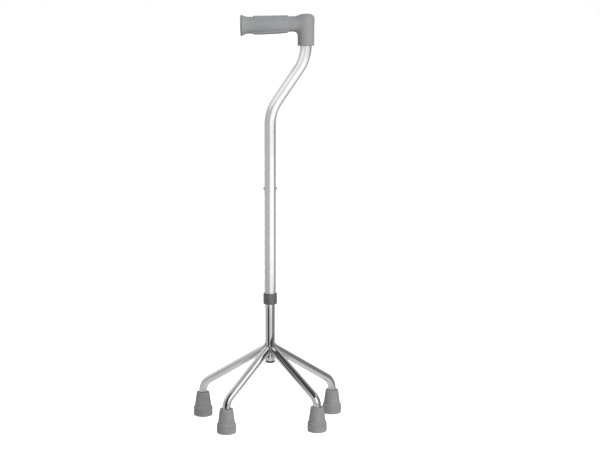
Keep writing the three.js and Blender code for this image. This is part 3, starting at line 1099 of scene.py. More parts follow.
    def add_arm(self, shell: Shell, place: GripPlace) -> None:
        """Adds the free end's face and rim, then the arm as far as the head's influence."""
        turn, rim, dome = place.turn, self.end_rim, self.end_dome
        face = np.linspace(0, 1, 9)[:-1]
        bend = np.linspace(0, QUARTER_TURN, 7)
        full = self.section(np.array([[dome + rim]]), turn)
        fine = spaced(self.pad_start - 1 * MM, self.pad_end + 2 * MM, self.fine_step)
        body = np.concatenate([
            spaced(dome + rim, fine[0], self.coarse_step)[1:], fine[1:],
            spaced(fine[-1], place.root - place.end, self.coarse_step)[1:],
        ])[:, None]
        radii = np.concatenate([
            face[:, None] * (full - rim), full - rim * (1 - np.sin(bend))[:, None],
            self.section(body, turn) + self.pads(body, turn),
        ])
        runs = np.concatenate([dome * face ** 2, dome + rim * (1 - np.cos(bend)), body[:, 0]])
        runs = runs[:, None]
        grid = np.stack([
            np.broadcast_to(place.end + runs, radii.shape),
            place.middle + radii * np.sin(turn),
            place.arm + radii * np.cos(turn),
        ], -1)
        shell.add(grid, charted(turn * self.head_radius, runs))

    def depth(self, points: np.ndarray, place: GripPlace) -> np.ndarray:
        """Signed distance, roughly, outside the smooth union of arm and head.

        The arm is its superellipse section closed off near the head's axis, the head is an upright
        cylinder with a rounded upper edge, and near where both are close the smaller of the two
        is lowered by (width - difference)^2 / (4 width).
        """
        along, across, up = points[..., 0], points[..., 1] - place.middle, points[..., 2]
        top, bottom, width = self.halves(along - place.end)
        lift = up - place.arm
        half = np.where(lift >= 0, top, bottom)
        beyond = np.maximum(along - (place.axis - self.root_inset), 0)
        power = self.squareness
        total = sum((size / most) ** power for size, most in (
            (np.abs(lift), half), (np.abs(across), width), (beyond, half)))
        arm = (total ** (1 / power) - 1) * np.minimum(half, width)
        out = np.hypot(along - place.axis, across) - (self.head_radius - self.head_edge)
        slope = self.crown_slope * np.maximum(place.axis + self.crown_start - along, 0)
        over = up - (place.top - slope - self.head_edge)
        head = np.minimum(np.maximum(out, over), 0)
        head = head + np.hypot(np.maximum(out, 0), np.maximum(over, 0)) - self.head_edge
        near = np.maximum(self.union_width - np.abs(arm - head), 0)
        return np.minimum(arm, head) - near * near / (4 * self.union_width)

    def add_corner_and_head(self, shell: Shell, place: GripPlace) -> None:
        """Adds the rows where the arm runs into the head, round the corner and down the socket."""
        fan = self.fan_radius
        fan_x, fan_z = place.axis - fan, place.arm - fan
        approach = spaced(place.root, fan_x, self.coarse_step)
        angles = np.linspace(0, QUARTER_TURN, 57)[1:]
        descent = spaced(fan_z, place.mouth + self.mouth_edge, self.head_step)[1:]
        before, after = np.ones(len(approach)), np.ones(len(descent))
        spots_x = np.concatenate([approach, fan_x + fan * np.sin(angles), place.axis * after])
        spots_z = np.concatenate([place.arm * before, fan_z + fan * np.cos(angles), descent])
        facing = np.concatenate([0 * before, angles, QUARTER_TURN * after])
        spots = np.stack([spots_x, np.full(len(spots_x), place.middle), spots_z], -1)
        outer = np.stack([np.sin(facing), np.zeros(len(facing)), np.cos(facing)], -1)
        ray = directions(place.turn, outer[:, None], np.array([0.0, 1.0, 0.0]))
        near = np.full(ray.shape[:2], 1.0 * MM)
        far = np.full(ray.shape[:2], self.longest_ray)
        for _ in range(HALVINGS):
            half_way = (near + far) / 2
            inside = self.depth(spots[:, None] + half_way[..., None] * ray, place) < 0
            near, far = np.where(inside, half_way, near), np.where(inside, far, half_way)
        grid = spots[:, None] + ((near + far) / 2)[..., None] * ray
        run = place.root - place.end + running_length(spots)
        shell.add(grid, charted(place.turn * self.head_radius, run[:, None]))

    def add_socket(self, shell: Shell, place: GripPlace) -> None:
        """Adds the socket's rounded mouth, its bore and the end of the bore."""
        bore = Extent(*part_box("upper_tube")).half_y + self.socket_gap
        top = place.top - self.roof
        bend = np.linspace(0, QUARTER_TURN, 6)
        edge = self.mouth_edge
        mouth = np.stack([self.head_radius - edge + edge * np.cos(bend),
                          place.mouth + edge - edge * np.sin(bend)], -1)
        inside = np.array([[bore + 0.6 * MM, place.mouth], [bore, place.mouth + 0.6 * MM],
                           [bore, top - 0.5 * MM], [bore - 0.5 * MM, top], [0.0, top]])
        profile = np.concatenate([mouth, inside])
        distance, height = profile[:, :1], profile[:, 1:]
        grid = np.stack(np.broadcast_arrays(
            place.axis + distance * np.cos(place.turn),
            place.middle + distance * np.sin(place.turn), height), -1)
        shell.add(grid, charted(place.turn * self.head_radius, running_length(profile)[:, None]))


@dataclass(frozen=True)
class UpperSection:
    """The swan-neck tube with its adjustment holes, the grip and the collar.

    Attributes:
        neck_angle: lean of the swan neck from upright.
        bend_radius: radius of the neck's two bends.
        wall: thickness of the tube's wall.
        grip_gap: clearance between the end of the upper bend and the grip's mouth.
        hole_pitch: distance between the holes.
        holes_above, holes_below: hole pairs above and below the buttons.
        hole_radius: radius of the holes.
        collar_lip: height of the collar's lip below the tube.
        collar_gap, collar_guide_gap: clearance of the collar round the tube and round the post.
        grip: the grip.
    """

    neck_angle: float = math.radians(34)
    bend_radius: float = 75 * MM
    wall: float = 1.2 * MM
    grip_gap: float = 0.3 * MM
    hole_pitch: float = 19.05 * MM
    holes_above: int = 3
    holes_below: int = 9
    hole_radius: float = 3.35 * MM
    collar_lip: float = 3.0 * MM
    collar_gap: float = 0.15 * MM
    collar_guide_gap: float = 0.2 * MM
    grip: Grip = field(default_factory=Grip)

    def build(self, finishes: Finishes) -> None:
        """Makes the tube, the grip and the collar."""
        self.build_tube(finishes.aluminium.material())
        self.grip.build(finishes.grip.material())
        self.build_collar(finishes.collar.material())

    def build_tube(self, finish: bpy.types.Material) -> None:
        """Makes the drilled swan-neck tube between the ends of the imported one."""
        low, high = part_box("upper_tube")
        axis_y = (low.y + high.y) / 2
        outer = (high.y - low.y) / 2
        lower_x, upper_x = low.x + outer, high.x - outer
        setback = self.bend_radius * math.tan(self.neck_angle / 2)
        upper_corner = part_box("grip")[0].z - self.grip_gap - setback
        lower_corner = upper_corner - (upper_x - lower_x) / math.tan(self.neck_angle)
        button = Extent(*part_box("snap_button_left")).middle_z - low.z
        holes = button + self.hole_pitch * np.arange(-self.holes_below, self.holes_above + 1)
        marks = DrilledTube.marks(holes, self.hole_pitch / 2, lower_corner - setback - low.z)
        line = Line.bent([
            Vector((lower_x, axis_y, low.z)),
            Vector((lower_x, axis_y, lower_corner)),
            Vector((upper_x, axis_y, upper_corner)),
            Vector((upper_x, axis_y, high.z)),
        ], self.bend_radius, marks[:-1])
        tube = DrilledTube(line, outer, outer - self.wall, holes, self.hole_radius,
                           self.hole_pitch / 2)
        piece = tube.build("swan_neck_tube", line.lengths)
        dress(piece, "upper", "anodised_aluminium", finish, "upper_tube")

    def build_collar(self, finish: bpy.types.Material) -> None:
        """Makes the collar as a turned sleeve with a guiding lip and softened edges."""
        collar = Extent(*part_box("tube_collar"))
        sleeve = Extent(*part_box("upper_tube")).half_y + self.collar_gap
        lip = Extent(*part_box("post")).half_x + self.collar_guide_gap
        outer, height = collar.half_x, collar.height
        profile = rounded([
            (lip, height / 9, 0),
            (lip, 0, 0.4 * MM),
            (outer, 0, 1.6 * MM),
            (outer, height, 0.8 * MM),
            (sleeve, height, 0.3 * MM),
            (sleeve, self.collar_lip, 0.2 * MM),
            (lip, self.collar_lip, 0.2 * MM),
            (lip, height / 9, 0),
        ])
        piece = turned("end_collar", profile, collar.foot, columns=FINE_COLUMNS)
        dress(piece, "upper", "collar_plastic", finish, "tube_collar")


# ---------------------------------------------------------------- post and snap buttons

@dataclass(frozen=True)
class SnapLock:
    """The two snap buttons and the V of spring strip behind them.

    Attributes:
        flange_thickness, flange_lip: the flange behind a button's stud, and how far it stands out.
        dome_flat: how much the dome's crown is flattened.
        strip_width, strip_thickness: section of the spring strip.
        gap: space between a flange and the strip.
        arm_lean: how much closer the arms stand at their foot.
        depth, rise: how far the strip goes below and above the buttons.
        bend_share: radius of the foot's bend as a share of its half width.
        row_step, row_turn: spacing of the rows on the straight part and on the bend.
    """

    flange_thickness: float = 1.0 * MM
    flange_lip: float = 0.7 * MM
    dome_flat: float = 0.15 * MM
    strip_width: float = 8.0 * MM
    strip_thickness: float = 0.8 * MM
    gap: float = 0.3 * MM
    arm_lean: float = 1.8 * MM
    depth: float = 34.0 * MM
    rise: float = 6.0 * MM
    bend_share: float = 0.7
    row_step: float = 1.5 * MM
    row_turn: float = 0.12

    def build(self, finishes: Finishes) -> None:
        """Makes both buttons and both arms of the spring."""
        brass = finishes.brass.material()
        spring = finishes.spring.material()
        for side, name in ((-1, "left"), (1, "right")):
            self.build_button(side, name, brass)
            self.build_arm(side, name, spring)

    def build_button(self, side: int, name: str, finish: bpy.types.Material) -> None:
        """Makes a domed stud with a flange, pointing along X to its side."""
        button = Extent(*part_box(f"snap_button_{name}"))
        length = button.high.x - button.low.x
        flange = button.height / 2
        stud = flange - self.flange_lip
        dome = np.linspace(0, QUARTER_TURN, 14)[:, None]
        crown = np.concatenate([stud * np.cos(dome), length - stud + stud * np.sin(dome)], axis=1)
        flattened = length - self.dome_flat * (1 - crown[:, 0] / stud) ** 2
        crown[:, 1] = np.minimum(crown[:, 1], flattened)
        stem = rounded([
            (0, 0, 0),
            (flange, 0, 0.25 * MM),
            (flange, self.flange_thickness, 0.25 * MM),
            (stud, self.flange_thickness, 0.2 * MM),
            (stud, length - stud, 0),
        ])
        base = button.low.x if side > 0 else button.high.x
        piece = turned(f"snap_stud_{name}", np.concatenate([stem[:-1], crown]),
                       Vector((base, button.foot.y, button.middle_z)), Vector((side, 0, 0)),
                       SMALL_COLUMNS)
        dress(piece, f"button_{name}", "button_brass", finish, f"snap_button_{name}")

    def build_arm(self, side: int, name: str, finish: bpy.types.Material) -> None:
        """Makes one half of the spring strip behind its button."""
        button = Extent(*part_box(f"snap_button_{name}"))
        centre_x, centre_y, _ = Extent(*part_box("post")).foot
        height = button.middle_z
        flange_back = button.low.x if side > 0 else button.high.x
        top = abs(flange_back - centre_x) - self.gap - self.strip_thickness / 2
        foot = top - self.arm_lean
        line = Line.bent([
            Vector((centre_x + side * top, centre_y, height + self.rise)),
            Vector((centre_x + side * foot, centre_y, height - self.depth)),
            Vector((centre_x, centre_y, height - self.depth)),
        ], foot * self.bend_share, spaced(0, self.depth + self.rise - foot, self.row_step),
            turn_step=self.row_turn)
        half_width, half_thickness, edge = self.strip_width / 2, self.strip_thickness / 2, 0.2 * MM
        section = rounded([
            (0, -half_thickness, 0),
            (half_width, -half_thickness, edge),
            (half_width, half_thickness, edge),
            (-half_width, half_thickness, edge),
            (-half_width, -half_thickness, edge),
            (0, -half_thickness, 0),
        ], arc_steps=SMALL_ARC)
        across, through = section[:, 0], section[:, 1]
        length = np.concatenate([line.lengths[:1], line.lengths, line.lengths[-1:]])
        scale = np.concatenate([[0.0], np.ones(len(line.lengths)), [0.0]])
        lengths, angles = np.broadcast_arrays(length[:, None], np.arctan2(across, through)[None])
        grid = line.at(lengths, angles, scale[:, None] * np.hypot(across, through)[None])
        piece = skinned(f"spring_arm_{name}", grid, charted(across, lengths))
        piece.data.materials.append(finish)
        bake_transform(piece)
        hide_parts("spring_clip")
        log.info("%s: %d faces, bending", piece.name, len(piece.data.polygons))


# ---------------------------------------------------------------- base

@dataclass(frozen=True)
class LegPlan:
    """One kind of leg.

    Attributes:
        name: short or long.
        join_above_post: height of the leg's axis at the post's axis above the post's lower end.
        elbow_above_ferrule: height of the elbow's corner above the ferrule.
    """

    name: str
    join_above_post: float
    elbow_above_ferrule: float


@dataclass(frozen=True)
class Leg:
    """A leg in its place.

    Attributes:
        name: such as short_left.
        radius, wall: size of its tube.
        line: its centre line, from the post's axis to its lower end.
        neighbour: the leg fitted before it on its side, or None.
    """

    name: str
    radius: float
    wall: float
    line: Line
    neighbour: "Leg | None" = None

    def cope(self, angle: np.ndarray, radius: float, post_radius: float,
             inset: float) -> np.ndarray:
        """Length along the leg where a line on its wall leaves the post and the leg beside it.

        A point at that angle and radius moves along the leg's direction. It leaves an upright
        cylinder, and a leaning one, at the larger root of a quadratic in its length.

        Args:
            angle: angles round the leg.
            radius: distance of the wall's surface from the leg's axis.
            post_radius: outer radius of the post.
            inset: how far the leg's end goes into what it meets.

        Returns:
            The lengths, one for each angle.
        """
        zero = np.zeros_like(angle)
        start = self.line.at(zero, angle, zero + radius)
        way = self.line.tangents[0]
        meets = [(self.line.points[0], np.array([0.0, 0.0, 1.0]), post_radius - inset)]
        if self.neighbour is not None:
            other = self.neighbour
            meets.append((other.line.points[0], other.line.tangents[0], other.radius - inset))
        leaves = zero
        for origin, axis, reach in meets:
            off = start - origin
            off = off - (off @ axis)[:, None] * axis
            turn = way - (way @ axis) * axis
            a, b, c = turn @ turn, 2 * off @ turn, (off * off).sum(1) - reach * reach
            inner = b * b - 4 * a * c
            root = (-b + np.sqrt(np.maximum(inner, 0))) / (2 * a)
            leaves = np.maximum(leaves, np.where(inner > 0, root, 0))
        return leaves

    def build(self, post_radius: float, columns: int = 72) -> bpy.types.Object:
        """Makes the bent tube, coped to fit the post and the leg beside it.

        Args:
            post_radius: outer radius of the post.
            columns: steps round the tube.

        Returns:
            The leg.
        """
        angle = np.linspace(0, FULL_TURN, columns + 1)
        bore, edge = self.radius - self.wall, BROKEN_EDGE
        outside, inside = (self.cope(angle, radius, post_radius, COPE_INSET)
                           for radius in (self.radius, bore))
        clear = max(outside.max(), inside.max()) + COPE_MARGIN
        marks = self.line.lengths[self.line.lengths > clear]
        end = marks[-1]
        share = np.linspace(0, 1, 9)[:, None]
        ones = np.ones_like(angle)
        first = outside + (clear - outside) * share
        last = inside + (clear - inside) * share[::-1]
        plain = marks[marks < end - edge][:, None] * ones
        lengths = np.concatenate([
            first, plain, np.array([[end - edge], [end], [end], [end - edge]]) * ones,
            plain[::-1], last, outside[None],
        ])
        outer_rows, inner_rows = len(first) + len(plain) + 1, len(plain) + len(last) + 1
        radius = np.concatenate([
            np.full(outer_rows, self.radius), [self.radius - edge, bore + edge],
            np.full(inner_rows, bore), [self.radius],
        ])
        angles = np.broadcast_to(angle, lengths.shape)
        radii = np.broadcast_to(radius[:, None], lengths.shape)
        return skinned(f"leg_tube_{self.name}", self.line.at(lengths, angles, radii),
                       charted(angles * self.radius, lengths))

    def build_weld(self, post_radius: float, bead: float, ripple: float,
                   pitch: float) -> bpy.types.Object:
        """Makes the weld bead: a round section carried along the closed line of the coped end.

        The section's radius rises and falls by the ripple once in each pitch of the line's
        length, as laid puddles of metal do.

        Args:
            post_radius: outer radius of the post.
            bead: radius of the bead.
            ripple: share by which the radius rises and falls.
            pitch: length of one puddle.

        Returns:
            The bead.
        """
        angle = np.linspace(0, FULL_TURN, SEAM_COLUMNS, endpoint=False)
        length = self.cope(angle, self.radius, post_radius, 0.0)
        for _ in range(SEAM_SMOOTHINGS):
            length = (np.roll(length, 1) + 2 * length + np.roll(length, -1)) / 4
        seam = self.line.at(length, angle, np.full(SEAM_COLUMNS, self.radius))
        way = np.roll(seam, -1, axis=0) - np.roll(seam, 1, axis=0)
        way /= np.linalg.norm(way, axis=1)[:, None]
        hub = self.line.at(length, angle, np.zeros(SEAM_COLUMNS))
        out = seam - hub
        out -= (out * way).sum(1)[:, None] * way
        out /= np.linalg.norm(out, axis=1)[:, None]
        run = running_length(np.concatenate([seam, seam[:1]]))
        puddles = max(1, round(run[-1] / pitch))
        wave = 1 + ripple * np.cos(FULL_TURN * puddles * run[:-1] / run[-1])
        turn = np.linspace(0, FULL_TURN, 17)
        ring = directions(turn, out[:, None], np.cross(way, out)[:, None])
        grid = seam[:, None] + bead * wave[:, None, None] * ring
        return skinned(f"weld_bead_{self.name}", np.concatenate([grid, grid[:1]]),
                       charted(turn * bead, run[:, None]))


@dataclass(frozen=True)
class Ferrule:
    """A rubber ferrule turned about its own axis, with a ringed tread, and the washer in it.

    Attributes:
        base_radius, base_height: the wide foot.
        foot_edge: radius of the foot's lower edge.
        step_radius, step_rise: where the cone starts above the foot.
        top_radius: radius of the cone's upper end.
        bore_radius: radius of the socket for the leg.
        sole: thickness of the sole under the leg.
        tread_depth, tread_pitch, tread_rings: the grooves in the sole.
        tread_start: place of the first groove, in pitches from the middle.
        tread_share: width of a groove as a share of the pitch.
        tread_edge: rounding of the grooves.
        washer_hole, washer_edge: hole and broken edge of the washer.
    """

    base_radius: float = 18.6 * MM
    base_height: float = 17.5 * MM
    foot_edge: float = 2.0 * MM
    step_radius: float = 16.5 * MM
    step_rise: float = 2.0 * MM
    top_radius: float = 12.6 * MM
    bore_radius: float = 8.15 * MM
    sole: float = 9.0 * MM
    tread_depth: float = 1.6 * MM
    tread_pitch: float = 3.6 * MM
    tread_rings: int = 3
    tread_start: float = 0.75
    tread_share: float = 0.42
    tread_edge: float = 0.3 * MM
    washer_hole: float = 2.5 * MM
    washer_edge: float = 0.3 * MM

    def build(self, name: str, rubber: bpy.types.Material, zinc: bpy.types.Material) -> None:
        """Makes the ferrule and its washer.

        Args:
            name: the leg's name, such as short_left.
            rubber: the ferrule's finish.
            zinc: the washer's finish.
        """
        box = Extent(*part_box(f"ferrule_{name}"))
        height, soft = box.height, self.tread_edge
        corners = [(0.0, 0.0, 0.0)]
        for ring in range(self.tread_rings):
            inner = self.tread_pitch * (ring + self.tread_start)
            outer = inner + self.tread_pitch * self.tread_share
            corners += [(inner, 0, soft), (inner + soft, self.tread_depth, soft),
                        (outer - soft, self.tread_depth, soft), (outer, 0, soft)]
        corners += [
            (self.base_radius, 0, self.foot_edge),
            (self.base_radius, self.base_height, 0.9 * MM),
            (self.step_radius, self.base_height + self.step_rise, 0.8 * MM),
            (self.top_radius, height, 1.1 * MM),
            (self.bore_radius + 0.4 * MM, height, 0.5 * MM),
            (self.bore_radius, height - 2.0 * MM, 0.4 * MM),
            (self.bore_radius, self.sole, 0.4 * MM),
            (0, self.sole, 0),
        ]
        piece = turned(f"rubber_foot_{name}", rounded(corners), box.foot, columns=FINE_COLUMNS)
        dress(piece, "base", "ferrule_rubber", rubber, f"ferrule_{name}")
        self.build_washer(name, zinc)

    def build_washer(self, name: str, zinc: bpy.types.Material) -> None:
        """Makes the washer that the leg stands on, with its edges broken."""
        box = Extent(*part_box(f"washer_{name}"))
        outer, thick = box.half_x, box.height
        hole, edge = self.washer_hole, self.washer_edge
        profile = rounded([
            (hole, thick / 2, 0), (hole, 0, edge), (outer, 0, edge), (outer, thick, edge),
            (hole, thick, edge), (hole, thick / 2, 0),
        ], arc_steps=SMALL_ARC)
        piece = turned(f"sole_washer_{name}", profile, box.foot, columns=SMALL_COLUMNS)
        dress(piece, "base", "washer_steel", zinc, f"washer_{name}")


@dataclass(frozen=True)
class LowerSection:
    """The post, its plug and lock, and the four legs with their welds and ferrules.

    Attributes:
        post_wall: thickness of the post's wall.
        hole_radius: radius of the button holes in the post.
        hole_patch: half the length of the patch of wall round a hole.
        plug_gap, plug_rib: clearance of the plug's ribs in the post, and their depth.
        leg_wall: thickness of the legs' walls.
        elbow_radius: bend radius of the legs' elbows.
        leg_step: spacing of the rows on a leg's straight part.
        sole_gap: space between a leg's end and its washer.
        bead, bead_ripple, bead_pitch: the weld beads.
        short, long: the two kinds of leg.
        ferrule: the ferrules.
        lock: the snap buttons.
    """

    post_wall: float = 1.2 * MM
    hole_radius: float = 3.35 * MM
    hole_patch: float = 7.5 * MM
    plug_gap: float = 0.3 * MM
    plug_rib: float = 0.4 * MM
    leg_wall: float = 1.5 * MM
    elbow_radius: float = 30 * MM
    leg_step: float = 10 * MM
    sole_gap: float = 0.3 * MM
    bead: float = 1.7 * MM
    bead_ripple: float = 0.1
    bead_pitch: float = 2.4 * MM
    short: LegPlan = LegPlan("short", 28.2 * MM, 13.5 * MM)
    long: LegPlan = LegPlan("long", 30.2 * MM, 18.5 * MM)
    ferrule: Ferrule = field(default_factory=Ferrule)
    lock: SnapLock = field(default_factory=SnapLock)

    def build(self, finishes: Finishes) -> None:
        """Makes the whole lower section."""
        chrome = finishes.chrome.material()
        weld = finishes.weld.material()
        rubber = finishes.ferrule.material()
        zinc = finishes.zinc.material()
        self.build_post(chrome)
        self.build_plug(finishes.plug.material())
        self.lock.build(finishes)
        post_radius = Extent(*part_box("post")).half_x
        fitted: dict[str, Leg] = {}
        for plan in (self.short, self.long):
            for side in ("left", "right"):
                leg = self.leg(plan, side, fitted.get(side))
                dress(leg.build(post_radius), "base", "chrome_plate", chrome, f"leg_{leg.name}")
                bead = leg.build_weld(post_radius, self.bead, self.bead_ripple, self.bead_pitch)
                # The bead takes the darkened weld finish, whose colour is painted shade round the
                # leg's joint.
                dress(bead, "base", "chrome_plate", weld)
                self.ferrule.build(leg.name, rubber, zinc)
                fitted[side] = leg

    def build_post(self, finish: bpy.types.Material) -> None:
        """Makes the chromed post with its two button holes."""
        post = Extent(*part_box("post"))
        holes = np.array([Extent(*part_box("snap_button_left")).middle_z - post.low.z])
        marks = DrilledTube.marks(holes, self.hole_patch, post.height, POST_QUARTER)
        upright = np.tile(np.array(UP), (len(marks), 1))
        line = Line(np.array(post.foot) + marks[:, None] * upright, upright,
                    np.array([0.0, 1.0, 0.0]), marks)
        tube = DrilledTube(line, post.half_x, post.half_x - self.post_wall, holes, self.hole_radius,
                           self.hole_patch, POST_QUARTER)
        dress(tube.build("chromed_post", marks), "base", "chrome_plate", finish, "post")

    def build_plug(self, finish: bpy.types.Material) -> None:
        """Makes the plug in the post's lower end: a domed flange and a ribbed spigot."""
        plug = Extent(*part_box("post_plug"))
        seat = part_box("post")[0].z - plug.low.z
        shoulder = seat - 0.15 * MM
        outer, height = plug.half_x, plug.height
        rib = outer - self.post_wall - self.plug_gap
        core = rib - self.plug_rib
        corners = [(0, 0, 0), (outer * 0.55, 0, 2 * MM), (outer, 0.5 * MM, 1.2 * MM),
                   (outer, shoulder, 0.3 * MM), (core, shoulder, 0.1 * MM)]
        for spot in np.linspace(seat + 2 * MM, height - 3 * MM, 4):
            corners += [(core, spot - 0.9 * MM, 0.1 * MM), (rib, spot, 0.15 * MM),
                        (core, spot + 0.5 * MM, 0.1 * MM)]
        corners += [(core, height - 1 * MM, 0.2 * MM), (rib - 1.5 * MM, height, 0.3 * MM),
                    (0, height, 0)]
        piece = turned("end_plug", rounded(corners, arc_steps=4), plug.foot)
        dress(piece, "base", "plug_plastic", finish, "post_plug")

    def leg(self, plan: LegPlan, side: str, neighbour: Leg | None) -> Leg:
        """Works out a leg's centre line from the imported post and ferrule.

        Args:
            plan: the kind of leg.
            side: left or right.
            neighbour: the leg already fitted on that side.

        Returns:
            The leg.
        """
        name = f"{plan.name}_{side}"
        post = Extent(*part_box("post"))
        foot = Extent(*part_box(f"ferrule_{name}"))
        washer = Extent(*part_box(f"washer_{name}"))
        start = post.above(post.low.z + plan.join_above_post)
        corner = foot.above(foot.high.z + plan.elbow_above_ferrule)
        end = foot.above(washer.high.z + self.sole_gap)
        run = corner - start
        turn = turn_between(np.array(run.normalized()), -np.array(UP))
        straight = run.length - self.elbow_radius * math.tan(turn / 2)
        marks = spaced(0, straight, self.leg_step)[:-1]
        line = Line.bent([start, corner, end], self.elbow_radius, marks)
        return Leg(name, washer.half_x, self.leg_wall, line, neighbour)


# ---------------------------------------------------------------- studio

@dataclass(frozen=True)
class Glow:
    """A round patch of the surroundings, bright or dark, with a soft edge.

    Attributes:
        bearing: degrees to the right of the camera, seen from the cane.
        rise: degrees above level.
        inner, outer: half angles at which the patch is full and gone, in degrees.
        shade: brightness of the patch.
    """

    bearing: float
    rise: float
    inner: float
    outer: float
    shade: float


@dataclass(frozen=True)
class Card:
    """An upright board round the cane that only its shiny surfaces see.

    Attributes:
        name: the board's name.
        bearing: degrees to the right of the camera, seen from the cane.
        spread: width in degrees.
        distance: distance from the post.
        low, high: heights of its edges.
        shade: brightness of its surface.
    """

    name: str
    bearing: float
    spread: float
    distance: float
    low: float
    high: float
    shade: float


@dataclass(frozen=True)
class Flag:
    """A small dark board close to one leg, along it, which makes the leg's dark stripe.

    Attributes:
        leg: the leg's name.
        bearing, rise: the board's direction from the leg, as for a Glow.
        distance: distance from the leg's axis.
        width: size of the board across the leg.
        start, end: how far down the leg it begins and ends.
        shade: brightness of its surface.
    """

    leg: str
    bearing: float
    rise: float
    distance: float
    width: float
    start: float
    end: float
    shade: float


@dataclass(frozen=True)
class Lamp:
    """A large soft lamp that lights the matt surfaces.

    Attributes:
        name: the lamp's name.
        bearing, rise: its direction from the cane, as for a Glow.
        distance: distance from the middle of the cane.
        size: length of its sides.
        power: its power in watts.
    """

    name: str
    bearing: float
    rise: float
    distance: float
    size: float
    power: float


@dataclass(frozen=True)
class Studio:
    """The pale floor, the surroundings, the lamps, the boards and the camera.

    Attributes:
        camera_distance, camera_height: place of the camera from the post's axis on the floor.
        camera_yaw: how far the camera stands towards the grip's free end, in radians.
        camera_pitch: downward tilt.
        focal_share: focal length as a share of the picture's width.
        shift: sideways shift of the picture as a share of its width.
        middle: height of the middle of the cane, which the lamps face.
        floor_shade, floor_glow: the floor's colour and the light that it gives off to the camera.
        floor_half: half the length of the floor's sides.
        sky_shade: brightness of the surroundings where no patch lies.
        glows: patches of the surroundings, each laid over those before it.
        cards: the boards.
        flag: the small board.
        lamps: the lamps.
    """

    camera_distance: float = 2.7735
    camera_height: float = 0.8473
    camera_yaw: float = math.radians(3.889)
    camera_pitch: float = math.radians(9.315)
    focal_share: float = 1477.3 / 600
    shift: float = 0.0497
    middle: float = 0.4
    floor_shade: float = 0.65
    floor_glow: float = 1.0
    floor_half: float = 30.0
    sky_shade: float = 0.56
    glows: tuple[Glow, ...] = (
        Glow(0, -90, 30, 70, 0.66),
        Glow(180, 30, 12, 40, 0.95),
        Glow(-122, 27, 6, 20, 0.95),
        Glow(40, 62, 24, 42, 0.16),
        Glow(100, 14, 10, 36, 0.2),
        Glow(20, 6, 14, 26, 1.1),
    )
    cards: tuple[Card, ...] = (
        Card("dark_low", -36, 32, 0.18, 0.0, 0.2, 0.02),
        Card("grey_low", -70, 36, 0.5, 0.0, 0.2, 0.42),
        Card("grey_right", 75, 56, 0.3, 0.0, 0.2, 0.22),
        Card("grey_feet", 10, 60, 0.3, 0.0, 0.05, 0.45),
        Card("bright_tall", 37, 82, 1.0, 0.02, 0.44, 1.38),
        Card("bright_upper", 39, 86, 1.0, 0.44, 0.95, 0.9),
        Card("bright_throat", 18, 40, 0.5, 0.56, 0.66, 1.5),
        Card("bright_left", -44, 72, 0.35, 0.72, 0.95, 1.15),
    )
    flag: Flag = Flag("short_right", 8, 36, 0.035, 0.045, 0.015, 0.14, 0.06)
    lamps: tuple[Lamp, ...] = (
        Lamp("key", 46, 32, 2.4, 1.3, 48),
        Lamp("fill", -40, 30, 2.6, 1.6, 5),
    )

    def build(self) -> None:
        """Sets up the floor, the surroundings, the lamps, the boards and the camera."""
        scene = bpy.context.scene
        scene.view_settings.view_transform = "Standard"
        centre = Extent(*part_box("post")).above(0)
        self.build_sky(scene)
        self.build_floor()
        for card in self.cards:
            self.build_card(card, centre)
        self.build_flag(self.flag)
        for lamp in self.lamps:
            self.build_lamp(lamp, centre + self.middle * UP)
        self.build_camera(scene, centre)

    def toward(self, bearing: float, rise: float = 0.0) -> Vector:
        """The unit direction at a bearing and a rise in degrees, seen from the cane."""
        turn = math.radians(bearing) - self.camera_yaw
        lift = math.radians(rise)
        level = math.cos(lift)
        return Vector((math.sin(turn) * level, -math.cos(turn) * level, math.sin(lift)))

    def build_sky(self, scene: bpy.types.Scene) -> None:
        """Makes surroundings that are white to the camera and patched for everything else.

        Each patch's share of a direction is a smooth step of the cosine between the two.
        """
        world = bpy.data.worlds.new("studio_surroundings")
        world.use_nodes = True
        sky = Wiring(world.node_tree)
        sky.tree.nodes.clear()
        direction = sky.node("ShaderNodeTexCoord").outputs["Generated"]
        shade = self.sky_shade
        for glow in self.glows:
            centre = self.toward(glow.bearing, glow.rise)
            cosine = sky.node("ShaderNodeVectorMath", {0: direction, 1: centre},
                              operation="DOT_PRODUCT")
            share = sky.node("ShaderNodeMapRange", {
                "Value": cosine.outputs["Value"],
                "From Min": math.cos(math.radians(glow.outer)),
                "From Max": math.cos(math.radians(glow.inner)),
            }, interpolation_type="SMOOTHSTEP")
            mixing = {0: share.outputs["Result"], 2: shade, 3: glow.shade}
            shade = sky.node("ShaderNodeMix", mixing).outputs[0]
        seen = sky.node("ShaderNodeLightPath").outputs["Is Camera Ray"]
        strength = sky.node("ShaderNodeMix", {0: seen, 2: shade, 3: 1.0}).outputs[0]
        light = sky.node("ShaderNodeBackground", {"Strength": strength, "Color": WHITE})
        output = sky.node("ShaderNodeOutputWorld")
        sky.tree.links.new(light.outputs[0], output.inputs[0])
        scene.world = world

    def build_floor(self) -> None:
        """Makes a large, pale, matt floor, lifted to white for the camera."""
        half = self.floor_half
        mesh = bpy.data.meshes.new("studio_floor")
        corners = [(-half, -half, 0), (half, -half, 0), (half, half, 0), (-half, half, 0)]
        mesh.from_pydata(corners, [], [(0, 1, 2, 3)])
        floor = bpy.data.objects.new("studio_floor", mesh)
        bpy.context.scene.collection.objects.link(floor)
        paint = Paint("pale_floor")
        seen = paint.node("ShaderNodeLightPath").outputs["Is Camera Ray"]
        paint.set(base_color=rgba((self.floor_shade,) * 3), roughness=1.0, emission_color=WHITE,
                  emission_strength=paint.math("MULTIPLY", seen, self.floor_glow))
        paint.shader.inputs["Specular IOR Level"].default_value = 0.0
        mesh.materials.append(paint.material)
        floor.visible_glossy = False

